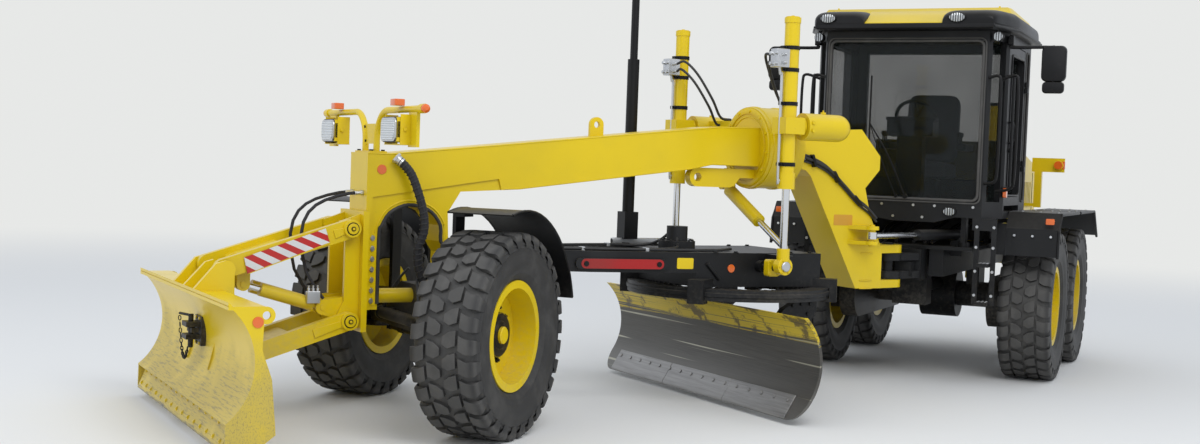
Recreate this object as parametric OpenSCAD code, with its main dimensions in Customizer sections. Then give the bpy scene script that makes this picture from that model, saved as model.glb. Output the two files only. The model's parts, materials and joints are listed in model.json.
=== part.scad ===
// Articulated motor grader with a front dozer blade, parked in crab steering: the front
// frame is turned to the right at the articulation and the front wheels are steered back
// to the left. Millimetres. Pieces of the rear frame are drawn from the articulation pin,
// x forward, y left, z up from the ground; pieces of the front frame are drawn the same
// way on the front frame's own centre line and then turned with it.

/* [Stance] */
// Turn of the front frame to the right of the rear frame, as parked, in degrees
artic_rest = 36.2; // [30:0.1:37]
// Turn of the front wheels to the left of the front frame, as parked, in degrees
steer_rest = 38.8; // [30:0.1:41]

/* [Wheels] */
// Radius over the tyre lugs, which is also the height of the wheel centres
tyre_r = 660; // [640:1:670]
// Width of a tyre
tyre_w = 445; // [425:1:455]
// Depth of the tyre lugs
lug_h = 26; // [18:1:30]
// Number of lugs round each shoulder of a tyre
lug_n = 30; // [24:1:32]
// Radius of the rim flange
rim_flange_r = 355; // [350:1:360]
// Width of the rim over its flanges
rim_w = 356; // [340:1:364]
// Radius of the rim barrel under the tyre beads
rim_seat_r = 318; // [312:1:322]
// Wall of the rim barrel
rim_wall = 14; // [10:1:18]
// Distance from the centre line to the middle of a tyre
wheel_y = 985; // [980:1:995]
// Radius of a wheel spindle
spindle_r = 60; // [50:1:70]
// Radial play of a spindle or pin in its bore
pin_play = 0.05; // [0.02:0.01:0.08]

/* [Rear frame] */
// Distance from the articulation pin to the front tandem axle
tandem_x1 = -1510; // [-1530:1:-1490]
// Distance between the two tandem axles
tandem_pitch = 1550; // [1530:1:1600]
// Height of the frame deck above the ground
deck_z = 1190; // [1180:1:1200]
// Thickness of the deck plate
deck_t = 30; // [20:1:40]
// Half width of the deck
deck_hw = 620; // [600:1:640]
// Depth of the two frame rails under the deck
rail_h = 230; // [200:1:240]
// Distance from the articulation pin to the rear end of the frame
frame_rear_x = -4020; // [-4060:1:-4000]
// Radius of the articulation pin
artic_pin_r = 50; // [40:1:60]

/* [Cab] */
// Distance from the articulation pin to the front of the cab
cab_front_x = -350; // [-360:1:-340]
// Distance from the articulation pin to the back of the cab
cab_rear_x = -1750; // [-1780:1:-1740]
// Half width of the cab
cab_hw = 820; // [800:1:840]
// Half width of the cab's front face between its slanted corners
cab_face_hw = 690; // [670:1:710]
// Depth of the slanted corners
cab_corner = 250; // [200:1:280]
// Height of the cab floor
cab_floor_z = 1500; // [1490:1:1510]
// Height of the top of the cab walls
cab_top_z = 3000; // [2960:1:3040]
// Wall of the cab
cab_wall = 60; // [50:1:70]
// Height of the bottom of the windows
window_z = 1580; // [1570:1:1620]
// Height of the top of the windows
window_top_z = 2920; // [2880:1:2930]

/* [Engine hood] */
// Distance from the articulation pin to the front of the hood
hood_front_x = -1800; // [-1830:1:-1790]
// Half width of the hood
hood_hw = 590; // [560:1:600]
// Height of the top of the hood
hood_top_z = 2120; // [2080:1:2160]
// Wall of the hood
hood_wall = 30; // [20:1:40]

/* [Front frame] */
// Width of the box beam
beam_w = 340; // [320:1:350]
// Distance from the articulation pin to the front axle
axle_x = 4110; // [4100:1:4120]
// Half distance between the two kingpins
kingpin_y = 850; // [845:1:855]
// Radius of a kingpin
kingpin_r = 35; // [30:1:40]
// Height of the middle of the saddle and the beam there
saddle_z = 1945; // [1935:1:1955]
// Outer radius of the saddle drum
saddle_r = 315; // [300:1:330]
// Radius of the round neck of the frame inside the saddle
neck_r = 235; // [232:1:240]
// Distance from the articulation pin to the front of the saddle
saddle_front_x = 1450; // [1440:1:1460]
// Length of the saddle drum
saddle_len = 320; // [300:1:340]

/* [Blade gear] */
// Distance from the articulation pin to the ball at the drawbar's nose
ball_x = 3790; // [3780:1:3800]
// Height of that ball
ball_z = 1070; // [1060:1:1080]
// Radius of that ball
ball_r = 60; // [55:1:65]
// Distance from the articulation pin to the middle of the circle
circle_x = 1580; // [1560:1:1600]
// Outer radius of the circle
circle_r = 780; // [760:1:800]
// Height of the top of the circle
circle_z = 892; // [880:1:895]
// Length of the grading blade
blade_len = 2800; // [2700:1:2860]
// Shift of the grading blade to the left of the middle, as parked
blade_shift = -70; // [-100:1:0]
// Height of the top of the grading blade
blade_top_z = 762; // [750:1:775]
// Thickness of the grading blade
blade_t = 24; // [16:1:30]
// Distance from the articulation pin to the blade lift cylinders
lift_x = 1610; // [1600:1:1620]
// Distance from the centre line to a blade lift cylinder
lift_y = 750; // [730:1:770]
// Height of the swivel of a blade lift cylinder
lift_pivot_z = 2100; // [2080:1:2120]
// Height of the ball at the foot of a lift rod
lift_ball_z = 1075; // [1060:1:1090]
// Outer radius of a lift barrel
lift_barrel_r = 55; // [50:1:60]
// Radius of a lift rod
lift_rod_r = 28; // [24:1:32]

/* [Dozer] */
// Half width of the dozer blade
dozer_hw = 1250; // [1200:1:1275]
// Distance from the articulation pin to the rear pins of the dozer linkage
dozer_pin_x = 4720; // [4715:1:4730]
// Height of the rear pins of the lower arms
dozer_low_z = 675; // [670:1:690]
// Height of the rear pins of the upper links
dozer_up_z = 1285; // [1280:1:1300]
// Radius of the dozer pins
dozer_pin_r = 25; // [20:1:30]

/* [Hidden] */
$fn = 48;

yellow = "#e3c51b";
charcoal = "#3a3b3d";
black = "#1c1c1d";
steel = "#c9cbcd";

// The row's origin is under the middle of the whole machine's box: its rear end and its
// left rear tyre on one side, the dozer blade's corners on the other.
dozer_face_x = 5760;
bumper_x = frame_rear_x - 160;
c_a = cos(artic_rest);
s_a = sin(artic_rest);
x_max = dozer_face_x * c_a + dozer_hw * s_a;
x_min = bumper_x;
y_max = wheel_y + tyre_w / 2 + 62;
y_min = -dozer_face_x * s_a - dozer_hw * c_a;
origin_x = -(x_max + x_min) / 2;
origin_y = -(y_max + y_min) / 2;

axle_z = tyre_r;
seat_gap = 0.3;
clear = 5;

module on_rear() { translate([origin_x, origin_y, 0]) children(); }
module on_front() { translate([origin_x, origin_y, 0]) rotate([0, 0, -artic_rest]) children(); }
// Both sides of the machine: s is 1 on the left and -1 on the right
module both() { for (s = [1, -1]) scale([1, s, 1]) children(); }
module side(s) { scale([1, s, 1]) children(); }
// A round bar between two points on a line along X, Y or Z
module bar_x(r, x0, x1, y, z) { translate([x0, y, z]) rotate([0, 90, 0]) cylinder(r = r, h = x1 - x0); }
module bar_y(r, y0, y1, x, z) { translate([x, y1, z]) rotate([90, 0, 0]) cylinder(r = r, h = y1 - y0); }
module bar_z(r, z0, z1, x, y) { translate([x, y, z0]) cylinder(r = r, h = z1 - z0); }
// A box from its low corner to its high corner
module box(lo, hi) { translate(lo) cube([hi[0] - lo[0], hi[1] - lo[1], hi[2] - lo[2]]); }
// A profile in the x-z plane, carried along y from y0 to y1
module plate_y(y0, y1) { translate([0, y1, 0]) rotate([90, 0, 0]) linear_extrude(y1 - y0) children(); }
// A profile in the y-z plane, carried along x from x0 to x1
module plate_x(x0, x1) { translate([x0, 0, 0]) rotate([90, 0, 90]) linear_extrude(x1 - x0) children(); }
// A strap between two points of the drawing plane, with round ends of radius r
module strap(a, b, r) {
  d = b - a;
  translate(a) rotate(atan2(d[1], d[0])) {
    circle(r);
    translate([0, -r]) square([norm(d), 2 * r]);
    translate([norm(d), 0]) circle(r);
  }
}

// Rear frame: hinge lugs, rails, deck and the posts that carry the cab
artic_low = [850, 915];
artic_high = [1135, 1200];
module rear_frame() color(charcoal) on_rear() {
  lug_t = 60;
  block_x = [-420, -240];
  difference() {
    union() {
      for (z = [artic_low[1] + clear, artic_high[0] - clear - lug_t]) {
        bar_z(120, z, z + lug_t, 0, 0);
        translate([0, 0, z]) linear_extrude(lug_t)
          polygon([[0, 120], [0, -120], [block_x[1], -220], [block_x[1], 220]]);
      }
      box([block_x[0], -230, 900], [block_x[1], 230, deck_z - deck_t]);
      box([frame_rear_x, -deck_hw, deck_z - deck_t], [block_x[0] + 40, deck_hw, deck_z]);
      both() box([frame_rear_x, 260, deck_z - deck_t - rail_h], [block_x[0], 380, deck_z - deck_t]);
      for (x = [-1150, -3300, -3900]) box([x, -260, 980], [x + 100, 260, deck_z - deck_t]);
      box([-1100, -150, 640], [-880, 150, deck_z - deck_t]);
      both() {
        box([-800, 380, deck_z - deck_t - 60], [-680, 480, artic_cyl_z - 52]);
        bar_z(22, artic_cyl_z - 53, artic_cyl_z + 38, artic_rear[0], artic_rear[1]);
      }
    }
    bar_z(artic_pin_r + 10, artic_low[1], artic_high[0], 0, 0);
  }
  bar_z(artic_pin_r, artic_low[0] - 20, artic_high[1] + 15, 0, 0);
  for (z = [artic_low[1] + clear, artic_high[0] - clear - lug_t])
    translate([0, 0, z]) difference() { cylinder(r = 75, h = lug_t); translate([0, 0, -1]) cylinder(r = artic_pin_r - 1, h = lug_t + 2); }
  box([block_x[1], 40, 940], [block_x[1] + 130, 180, 1060]);
}

// Differential, axle tubes and the two tandem cases with their spindles
case_y = [600, 745];
hub_w = [-35, 70];
module spindle(flange_w0) {
  bar_y(150, flange_w0, hub_w[0] - 40, 0, 0);
  bar_y(110, hub_w[0] - 40, hub_w[0] - clear, 0, 0);
  bar_y(spindle_r, hub_w[0] - clear, hub_w[1] - 45, 0, 0);
}
tandem_mid_x = tandem_x1 - tandem_pitch / 2;
module tandem_axle() color(charcoal) on_rear() {
  translate([tandem_mid_x, 0, axle_z]) {
    bar_y(230, -170, 170, 0, 0);
    bar_y(120, -case_y[0], case_y[0], 0, 0);
    bar_x(50, 200, -1100 - tandem_mid_x, 0, 100);
    both() box([-150, 260, 100], [150, 380, deck_z - deck_t - rail_h - axle_z]);
  }
  both() {
    plate_y(case_y[0], case_y[1]) difference() {
      strap([tandem_x1, axle_z], [tandem_x1 - tandem_pitch, axle_z], 225);
    }
    for (x = [tandem_x1, tandem_x1 - tandem_pitch])
      translate([x, wheel_y, axle_z]) spindle(case_y[1] - wheel_y);
  }
}

engine_x = [-3500, -2350];
module engine_block() color("#55585a") on_rear()
  box([engine_x[0], -330, deck_z], [engine_x[1], 330, 1880]);

// Engine hood: one shell over the engine, louvred on both sides and open at the grille
module engine_hood() color(yellow) on_rear() difference() {
  union() {
    plate_y(-hood_hw, hood_hw) polygon([[frame_rear_x, deck_z], [hood_front_x, deck_z],
      [hood_front_x, hood_top_z], [-2600, hood_top_z], [frame_rear_x + 60, hood_top_z - 180],
      [frame_rear_x, hood_top_z - 260]]);
    bar_z(70, hood_top_z - 100, hood_top_z + 420, -2900, 300);
    both() {
      box([-3230, hood_hw - 5, 1520], [-3170, 720, 1550]);
      box([-3235, 700, 1510], [-3165, 770, 1880]);
      box([-3212, 670, 1870], [-3188, 985, 2010]);
      bar_x(46, -3190, -3140, 930, 1940);
    }
  }
  plate_y(-hood_hw + hood_wall, hood_hw - hood_wall) polygon([[frame_rear_x + hood_wall, deck_z - 1],
    [hood_front_x - hood_wall, deck_z - 1], [hood_front_x - hood_wall, hood_top_z - hood_wall],
    [-2600 - 10, hood_top_z - hood_wall], [frame_rear_x + 60 + hood_wall, hood_top_z - 180 - hood_wall],
    [frame_rear_x + hood_wall, hood_top_z - 260 - hood_wall]]);
  for (x = [-3700 : 90 : -3000]) both()
    box([x, hood_hw - hood_wall - 5, 1500], [x + 45, hood_hw + 5, 1760]);
  for (z = [1320 : 70 : 1780])
    box([frame_rear_x - 5, -420, z], [frame_rear_x + hood_wall + 5, 420, z + 40]);
  bar_z(55, hood_top_z - 99, hood_top_z + 421, -2900, 300);
}

// Rear bumper with the tow hitch
hitch_r = 26;
hitch_x = -60;
module rear_bumper() color(yellow) on_rear() translate([frame_rear_x, 0, 0]) difference() {
  union() {
    box([-160, -600, 880], [0, 600, deck_z]);
    for (z = [700, 800]) translate([0, 0, z]) {
      box([-100, -90, 0], [60, 90, 30]);
    }
    box([0, -90, 700], [60, 90, 930]);
    box([-100, -90, 830], [60, 90, 900]);
  }
  bar_z(hitch_r, 600, 840, hitch_x, 0);
}

// Outline of the cab seen from above; g sets it in from the outer faces
corner_n = [cab_hw - cab_face_hw, cab_corner] / norm([cab_hw - cab_face_hw, cab_corner]);
function cab_plan(g) =
  let (yc = cab_face_hw - g * (1 - corner_n[0]) / corner_n[1],
       xc = cab_front_x - cab_corner - g * (1 - corner_n[1]) / corner_n[0])
  [[cab_front_x - g, -yc], [cab_front_x - g, yc], [xc, cab_hw - g], [cab_rear_x + g, cab_hw - g],
   [cab_rear_x + g, -cab_hw + g], [xc, -cab_hw + g]];
module cab_prism(g, z0, z1) { translate([0, 0, z0]) linear_extrude(z1 - z0) polygon(cab_plan(g)); }

// Four posts with rubber feet between the deck and the cab floor
module cab_mounts() color(black) on_rear() both() for (x = [-520, -1700]) {
  box([x, 515, deck_z + 40], [x + 100, 555, cab_floor_z - 60]);
  bar_z(48, deck_z, deck_z + 41, x + 50, 535);
}

// Cab floor tray with its chin over the articulation
module cab_base() color(charcoal) on_rear() {
  difference() {
    cab_prism(0, cab_floor_z - 60, window_z - 40);
    cab_prism(cab_wall, cab_floor_z, window_z);
    box([door_x[0], cab_hw - cab_wall - 1, cab_floor_z], [door_x[1], cab_hw + 1, window_z]);
  }
  translate([cab_front_x, 0, 0]) plate_x(-cab_wall, 0) polygon([[-330, cab_floor_z - 60],
    [-250, cab_floor_z - 80], [-60, cab_floor_z - 110], [300, cab_floor_z - 110], [470, cab_floor_z - 60]]);
  for (y = [-480, 430]) bar_x(38, cab_front_x - 1, cab_front_x + 35, y, cab_floor_z - 15);
}

door_x = [-1420, -640];
pillar = 70;
// Cab shell: walls, pillars and head rail, with the windows and the doorway cut
module cab_shell() color(charcoal) on_rear() {
  z0 = window_z - 40;
  difference() {
    cab_prism(0, z0, cab_top_z);
    cab_prism(cab_wall, z0 - 1, cab_top_z + 1);
    box([cab_front_x - 100, -cab_face_hw + 40, window_z], [cab_front_x + 10, cab_face_hw - 40, window_top_z]);
    box([cab_rear_x - 10, -cab_hw + 150, window_z + 180], [cab_rear_x + 100, cab_hw - 150, window_top_z]);
    both() corner_window(window_z, window_top_z, 100);
    for (x = [[cab_rear_x + 90, door_x[0] - pillar], [door_x[0], door_x[1]]])
      box([x[0], -cab_hw - 1, window_z], [x[1], -cab_hw + cab_wall + 1, window_top_z]);
    box([cab_rear_x + 90, cab_hw - cab_wall - 1, window_z], [door_x[0] - pillar, cab_hw + 1, window_top_z]);
    box([door_x[0], cab_hw - cab_wall - 1, z0 - 1], [door_x[1], cab_hw + 1, window_top_z]);
  }
  for (z = [1900, 2600]) {
    box([door_x[0] - 60, cab_hw, z - 50], [door_x[0] - 30, cab_hw + 20, z - 5]);
    box([door_x[0] - 60, cab_hw + 12, z - 50], [door_hinge[0] + 9, cab_hw + 40, z - 5]);
    bar_z(9, z - 50, z + 45, door_hinge[0], door_hinge[1]);
  }
  both() grab_rail(door_x[1] + 45, 1700, 2640);
}
// Grab rail: an upright tube on two feet
module grab_rail(x, z0, z1) {
  out = cab_hw + 45;
  bar_z(13, z0, z1, x, out);
  for (z = [z0, z1]) {
    bar_y(13, cab_hw - 10, out, x, z);
    translate([x, out, z]) sphere(15, $fn = 24);
  }
}
// The slanted corner's window, a slot square to the slanted wall
module corner_window(z0, z1, cut) {
  a = atan2(cab_hw - cab_face_hw, cab_corner);
  len = norm([cab_hw - cab_face_hw, cab_corner]);
  translate([cab_front_x, cab_face_hw, 0]) rotate([0, 0, 180 - a])
    box([50, -cut, z0], [len - 50, cut, z1]);
}

// Cab roof: two rounded bulges with their lamps, and the hatch panel that slopes between them
roof_over = 70;
roof_x = [cab_rear_x - roof_over, cab_front_x + 180];
module roof_plan(h) translate([0, 0, cab_top_z]) linear_extrude(h)
  polygon([[roof_x[0], -cab_hw - roof_over], [roof_x[1] - 430, -cab_hw - roof_over], [roof_x[1], -cab_face_hw - 60],
    [roof_x[1], cab_face_hw + 60], [roof_x[1] - 430, cab_hw + roof_over], [roof_x[0], cab_hw + roof_over]]);
module cab_roof() color(charcoal) on_rear() {
  z = cab_top_z;
  roof_plan(50);
  both() intersection() {
    roof_plan(190);
    plate_x(roof_x[0] - 1, roof_x[1] + 1) polygon([[220, z + 40], [290, z + 185], [cab_hw - 120, z + 190],
      [cab_hw - 20, z + 165], [cab_hw + roof_over, z + 90], [cab_hw + roof_over, z + 40]]);
    plate_y(-2000, 2000) polygon([[roof_x[1], z + 40], [roof_x[1] - 20, z + 110], [roof_x[1] - 80, z + 165],
      [roof_x[1] - 190, z + 190], [roof_x[0] + 120, z + 190], [roof_x[0] + 30, z + 150], [roof_x[0], z + 40]]);
  }
  plate_y(-250, 250) polygon([[roof_x[0] + 60, z + 40], [roof_x[1] - 30, z + 40], [roof_x[1] - 110, z + 110],
    [roof_x[1] - 260, z + 170], [roof_x[0] + 160, z + 170], [roof_x[0] + 60, z + 110]]);
  for (y = [-cab_hw + 180, 0.55 * cab_hw]) bar_x(52, roof_x[1] - 60, roof_x[1] + 8, y, z + 95);
  both() bar_x(40, roof_x[1] - 225, roof_x[1] - 160, cab_hw - 60, z - 50);
  both() box([roof_x[1] - 210, cab_hw - 75, z - 20], [roof_x[1] - 180, cab_hw - 45, z + 1]);
}

glass_t = 6;
// Fixed panes, laid against the inner face of the walls
module cab_glass() color("#8fa3a8", 0.4) on_rear() {
  lap = 12;
  front_hw = cab_plan(cab_wall)[1][1] - 0.5;
  box([cab_front_x - cab_wall - glass_t, -front_hw, window_z - lap],
      [cab_front_x - cab_wall, front_hw, window_top_z + lap]);
  box([cab_rear_x + cab_wall, -cab_hw + 150 - lap, window_z + 180 - lap],
      [cab_rear_x + cab_wall + glass_t, cab_hw - 150 + lap, window_top_z + lap]);
  for (s = [1, -1]) side(s)
    box([cab_rear_x + 90 - lap, cab_hw - cab_wall - glass_t, window_z - lap],
        [door_x[0] - pillar + lap, cab_hw - cab_wall, window_top_z + lap]);
  box([door_x[0] - lap, -cab_hw + cab_wall, window_z - lap],
      [door_x[1] + lap, -cab_hw + cab_wall + glass_t, window_top_z + lap]);
  a = atan2(cab_hw - cab_face_hw, cab_corner);
  len = norm([cab_hw - cab_face_hw, cab_corner]);
  both() translate([cab_front_x, cab_face_hw, 0]) rotate([0, 0, 180 - a])
    box([40, cab_wall, window_z - lap], [len - 40, cab_wall + glass_t, window_top_z + lap]);
}

seat_x = -1330;
module seat() color(black) on_rear() {
  box([seat_x - 160, -170, cab_floor_z], [seat_x + 160, 170, cab_floor_z + 260]);
  box([seat_x - 220, -250, cab_floor_z + 260], [seat_x + 280, 250, cab_floor_z + 400]);
  box([seat_x - 300, -240, cab_floor_z + 400], [seat_x - 170, 240, cab_floor_z + 1050]);
}

module console() color(black) on_rear() {
  translate([-700, 0, cab_floor_z]) {
    box([-90, -110, 0], [70, 110, 620]);
    box([-150, -200, 620], [90, 200, 760]);
    translate([-130, 0, 790]) rotate([0, -55, 0]) rotate_extrude() translate([170, 0]) circle(15, $fn = 16);
    translate([-130, 0, 790]) rotate([0, -55, 0]) box([-170, -20, -10], [170, 20, 10]);
  }
}

// Mudguards over the tandem wheels, each a folded plate on brackets from the deck
guard_y = [cab_hw + clear, y_max];
guard_t = 8;
module guard_fold(x0) {
  g = guard_t;
  polygon([[x0 + 70, 1130], [x0 + 40, 1360], [x0 - 80, 1500], [x0 - 1320, 1500], [x0 - 1320, 1500 - g],
    [x0 - 84, 1500 - g], [x0 + 40 - g - 1, 1356], [x0 + 70 - g, 1130]]);
}
module mudguards() color(charcoal) on_rear() both() {
  plate_y(guard_y[0], guard_y[1]) guard_fold(-830);
  plate_y(guard_y[0], guard_y[1]) polygon([[-2250, 1500], [-3450, 1500], [-3780, 1240], [-3780 + 10, 1240],
    [-3450 + 6, 1500 - guard_t], [-2250, 1500 - guard_t]]);
  riser = wheel_y - tyre_w / 2 - 40;
  for (x = [-1200, -1950, -2500, -3300])
    plate_x(x, x + 40) polygon([[deck_hw, deck_z - deck_t], [riser, deck_z - deck_t], [riser, 1390],
      [guard_y[0] + 30, 1400], [guard_y[0] + 30, 1500 - guard_t], [guard_y[0], 1500 - guard_t],
      [guard_y[0], 1430], [riser - 30, 1430], [riser - 30, deck_z], [deck_hw, deck_z]]);
}

// Steps hung at the front corners of the cab, with grab rails
module steps() color(charcoal) on_rear() both() {
  y = cab_hw - 180;
  box([-560, y - 20, 1380], [-350, y + 140, cab_floor_z - 60]);
  box([-370, y, 720], [-350, y + 40, 1380]);
  box([-370, y + 140, 720], [-350, cab_hw, 1380]);
  box([-370, y - 20, 1340], [-350, cab_hw, 1440]);
  for (z = [720, 1040]) box([-370, y + 40, z], [-250, y + 140, z + 30]);
}

module fuel_tank() color(charcoal) on_rear()
  box([-1560, -600, 930], [-1000, -400, deck_z - deck_t]);

// Rear-view mirrors on arms from the head rail of the cab
module mirrors() color(black) on_rear() both() {
  bar_z(14, 2870, cab_top_z, -560, cab_hw + 15);
  bar_y(14, cab_hw + clear, cab_hw + 370, -560, 2880);
  box([-590, cab_hw + 270, 2500], [-540, cab_hw + 460, 2890]);
}

door_gap = 8;
door_hinge = [door_x[0] + 18, cab_hw + 26];
// Cab door: one thick frame round its pane, with hinge eyes on the rear edge
module cab_door() color(charcoal) on_rear() {
  x0 = door_x[0] + door_gap;
  x1 = door_x[1] - door_gap;
  y1 = cab_hw;
  difference() {
    box([x0, y1 - 50, cab_floor_z + 50], [x1, y1, window_top_z - door_gap]);
    box([x0 + 70, y1 - 51, cab_floor_z + 130], [x1 - 70, y1 + 1, window_top_z - door_gap - 80]);
  }
  for (z = [1900, 2600]) difference() {
    union() {
      bar_z(18, z, z + 45, door_hinge[0], door_hinge[1]);
      box([door_hinge[0], y1, z], [door_hinge[0] + 60, y1 + 12, z + 45]);
      box([door_hinge[0], y1, z], [door_hinge[0] + 14, y1 + 26, z + 45]);
    }
    bar_z(9 + pin_play, z - 1, z + 46, door_hinge[0], door_hinge[1]);
  }
}
module door_glass() color("#8fa3a8", 0.4) on_rear()
  box([door_x[0] + door_gap + 60, cab_hw - 50 - glass_t, cab_floor_z + 120],
      [door_x[1] - door_gap - 60, cab_hw - 50, window_top_z - door_gap - 70]);

// Wheels. The profiles are drawn as [radius, distance outwards from the middle].
module spin_y() { rotate([-90, 0, 0]) rotate_extrude($fn = 72) children(); }
module rim() {
  hw = rim_w / 2;
  r0 = rim_seat_r - rim_wall;
  spin_y() polygon([[spindle_r + pin_play, hub_w[0]], [140, hub_w[0]], [140, -10], [r0, -10], [r0, -hw],
    [rim_flange_r, -hw], [rim_flange_r, -hw + 15], [rim_seat_r, -hw + 15], [rim_seat_r, hw - 15],
    [rim_flange_r, hw - 15], [rim_flange_r, hw], [r0, hw], [r0, 10], [140, 10], [140, hub_w[1]],
    [0, hub_w[1]], [0, hub_w[1] - 40], [spindle_r + pin_play, hub_w[1] - 40]]);
}
// A tyre is its carcass with a row of lugs on each shoulder, the rows half a pitch apart
module tyre() {
  hw = rim_w / 2 - 15 - seat_gap;
  r0 = rim_seat_r + seat_gap;
  w = tyre_w / 2;
  base_r = tyre_r - lug_h;
  spin_y() polygon([[r0, -hw], [rim_flange_r + 4, -hw], [400, -w + 25], [480, -w], [560, -w + 6],
    [base_r - 20, -w + 26], [base_r, -w + 60], [base_r, w - 60], [base_r - 20, w - 26], [560, w - 6],
    [480, w], [400, w - 25], [rim_flange_r + 4, hw], [r0, hw]]);
  half = PI * tyre_r / lug_n;
  top_r = sqrt(pow(tyre_r, 2) - pow(0.8 * half, 2));
  for (i = [0 : lug_n - 1], s = [-1, 1])
    rotate([0, (i + (s + 1) / 4) * 360 / lug_n, 0]) side(s) translate([0, 0, -top_r]) linear_extrude(4 * lug_h)
      polygon([[-0.8 * half, 20], [0.5 * half, 20], [0.75 * half, 110], [0.75 * half, w - 3],
        [-0.65 * half, w - 3], [-0.65 * half, 110]]);
}
module at_rear_wheel(s, n) { on_rear() translate([tandem_x1 - (n - 1) * tandem_pitch, s * wheel_y, axle_z]) side(s) children(); }
// Turns a front wheel and its knuckle about the kingpin
module on_knuckle(s) {
  on_front() translate([axle_x, s * kingpin_y, 0]) rotate([0, 0, steer_rest]) side(s) children();
}
module at_front_wheel(s) { on_knuckle(s) translate([0, wheel_y - kingpin_y, axle_z]) children(); }
module tyre_rear_left_1() color(black) at_rear_wheel(1, 1) tyre();
module rim_rear_left_1() color(yellow) at_rear_wheel(1, 1) rim();
module tyre_rear_left_2() color(black) at_rear_wheel(1, 2) tyre();
module rim_rear_left_2() color(yellow) at_rear_wheel(1, 2) rim();
module tyre_rear_right_1() color(black) at_rear_wheel(-1, 1) tyre();
module rim_rear_right_1() color(yellow) at_rear_wheel(-1, 1) rim();
module tyre_rear_right_2() color(black) at_rear_wheel(-1, 2) tyre();
module rim_rear_right_2() color(yellow) at_rear_wheel(-1, 2) rim();
module tyre_front_left() color(black) at_front_wheel(1) tyre();
module rim_front_left() color(yellow) at_front_wheel(1) rim();
module tyre_front_right() color(black) at_front_wheel(-1) tyre();
module rim_front_right() color(yellow) at_front_wheel(-1) rim();

// Front frame: goose neck, round neck, box beam and the forked head over the axle
hb = beam_w / 2;
osc_z = 820;
head_front = 4600;
lug_hole_r = 24;
module frame_outline() polygon([[200, 850], [460, 850], [740, 1360], [950, 1740], [1000, 1785],
  [1060, 1800], [1880, 1797], [2080, 1755], [3480, 1572], [3920, 1545], [4010, 1400], [4000, 1200], [3930, 1120],
  [3930, 740], [4005, 740], [4005, 1120], [4055, 1200], [4060, 1310], [4130, 1400], [4230, 1440],
  [4330, 1440], [4430, 1390], [4485, 1300], [4500, 1240], [4500, 740], [head_front, 740],
  [head_front, 1790], [4440, 1790], [3640, 1880], [1820, 2090], [750, 2110], [460, 2130], [260, 1920],
  [260, 1810], [400, 1660], [340, 1450], [220, 1200], [200, 1160]]);
module frame_part(x0, x1) intersection() {
  frame_outline();
  translate([x0, 0]) square([x1 - x0, 3000]);
}
neck_x = saddle_front_x - saddle_len - 40;
// Goose neck: the hinge fork of the articulation, swept up to the round neck of the beam
module goose_neck() color(yellow) on_front() difference() {
  union() {
    plate_y(-hb, hb) frame_part(0, neck_x);
    for (z = [artic_low, artic_high]) {
      bar_z(115, z[0], z[1], 0, 0);
      translate([0, 0, z[0]]) linear_extrude(z[1] - z[0])
        polygon([[0, 115], [0, -115], [210, -hb], [300, -hb], [300, hb], [210, hb]]);
    }
    both() for (z = [artic_cyl_z - 75, artic_cyl_z + 45]) {
      translate([0, 0, z]) linear_extrude(30)
        polygon([[330, hb - 1], [380, artic_front[1] + 20], [460, artic_front[1] + 20], [560, hb - 1]]);
      bar_z(55, z, z + 30, artic_front[0], artic_front[1]);
      bar_z(22, z - 12, z + 42, artic_front[0], artic_front[1]);
    }
  }
  for (z = [artic_low, artic_high]) bar_z(artic_pin_r + pin_play, z[0] - 1, z[1] + 1, 0, 0);
}
// Beam with the head over the axle. The head's sides are set back below the beam's own plates.
module front_frame() color(yellow) on_front() {
  difference() {
    union() {
      plate_y(-hb, hb) frame_part(neck_x, head_front);
      bar_x(neck_r, neck_x, saddle_front_x, 0, saddle_z);
      bar_x(neck_r + 40, neck_x, saddle_front_x - saddle_len - seat_gap, 0, saddle_z);
      bar_x(95, ball_x - 20, 3935, 0, ball_z);
      plate_y(-15, 15) strap([2795, 1900], [2795, 2060], 55);
      dozer_mast();
    }
    both() plate_y(hb - 14, hb + 1)
      polygon([[3600, 1500], [3640, 1641], [3860, 1607], [4556, 1494], [4556, 700], [3600, 700]]);
    translate([ball_x, 0, ball_z]) sphere(ball_r + 10 + pin_play);
    bar_x(58, ball_x - 40, ball_x, 0, ball_z);
    bar_y(lug_hole_r, -20, 20, 2795, 2060);
  }
  bar_x(50, 4003, 4502, 0, osc_z);
}
// Mounting column of the dozer: two cheeks with the pin bosses for arms and links
module dozer_mast() {
  box([head_front, -240, 600], [head_front + 40, 240, 1400]);
  both() {
    plate_y(150, 180) polygon([[head_front + 40, 620], [dozer_pin_x, 620], [dozer_pin_x + 60, 660],
      [dozer_pin_x + 60, 720], [dozer_pin_x + 20, 800], [dozer_pin_x + 20, 1200],
      [dozer_pin_x + 60, 1260], [dozer_pin_x + 60, 1330], [dozer_pin_x, 1350], [head_front + 40, 1380]]);
    bar_y(dozer_pin_r, 180, 265, dozer_pin_x, dozer_low_z);
    bar_y(dozer_pin_r, 180, 265, dozer_pin_x, dozer_up_z);
    for (y = [-40, 28]) plate_y(dozer_cyl_y + y, dozer_cyl_y + y + 12) {
      polygon([[head_front + 40, 640], [dozer_cyl[0], 710], [dozer_cyl[0], 810], [head_front + 40, 840]]);
      translate(dozer_cyl) circle(50);
    }
    bar_y(20, dozer_cyl_y - 45, dozer_cyl_y + 45, dozer_cyl[0], dozer_cyl[1]);
  }
}

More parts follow.
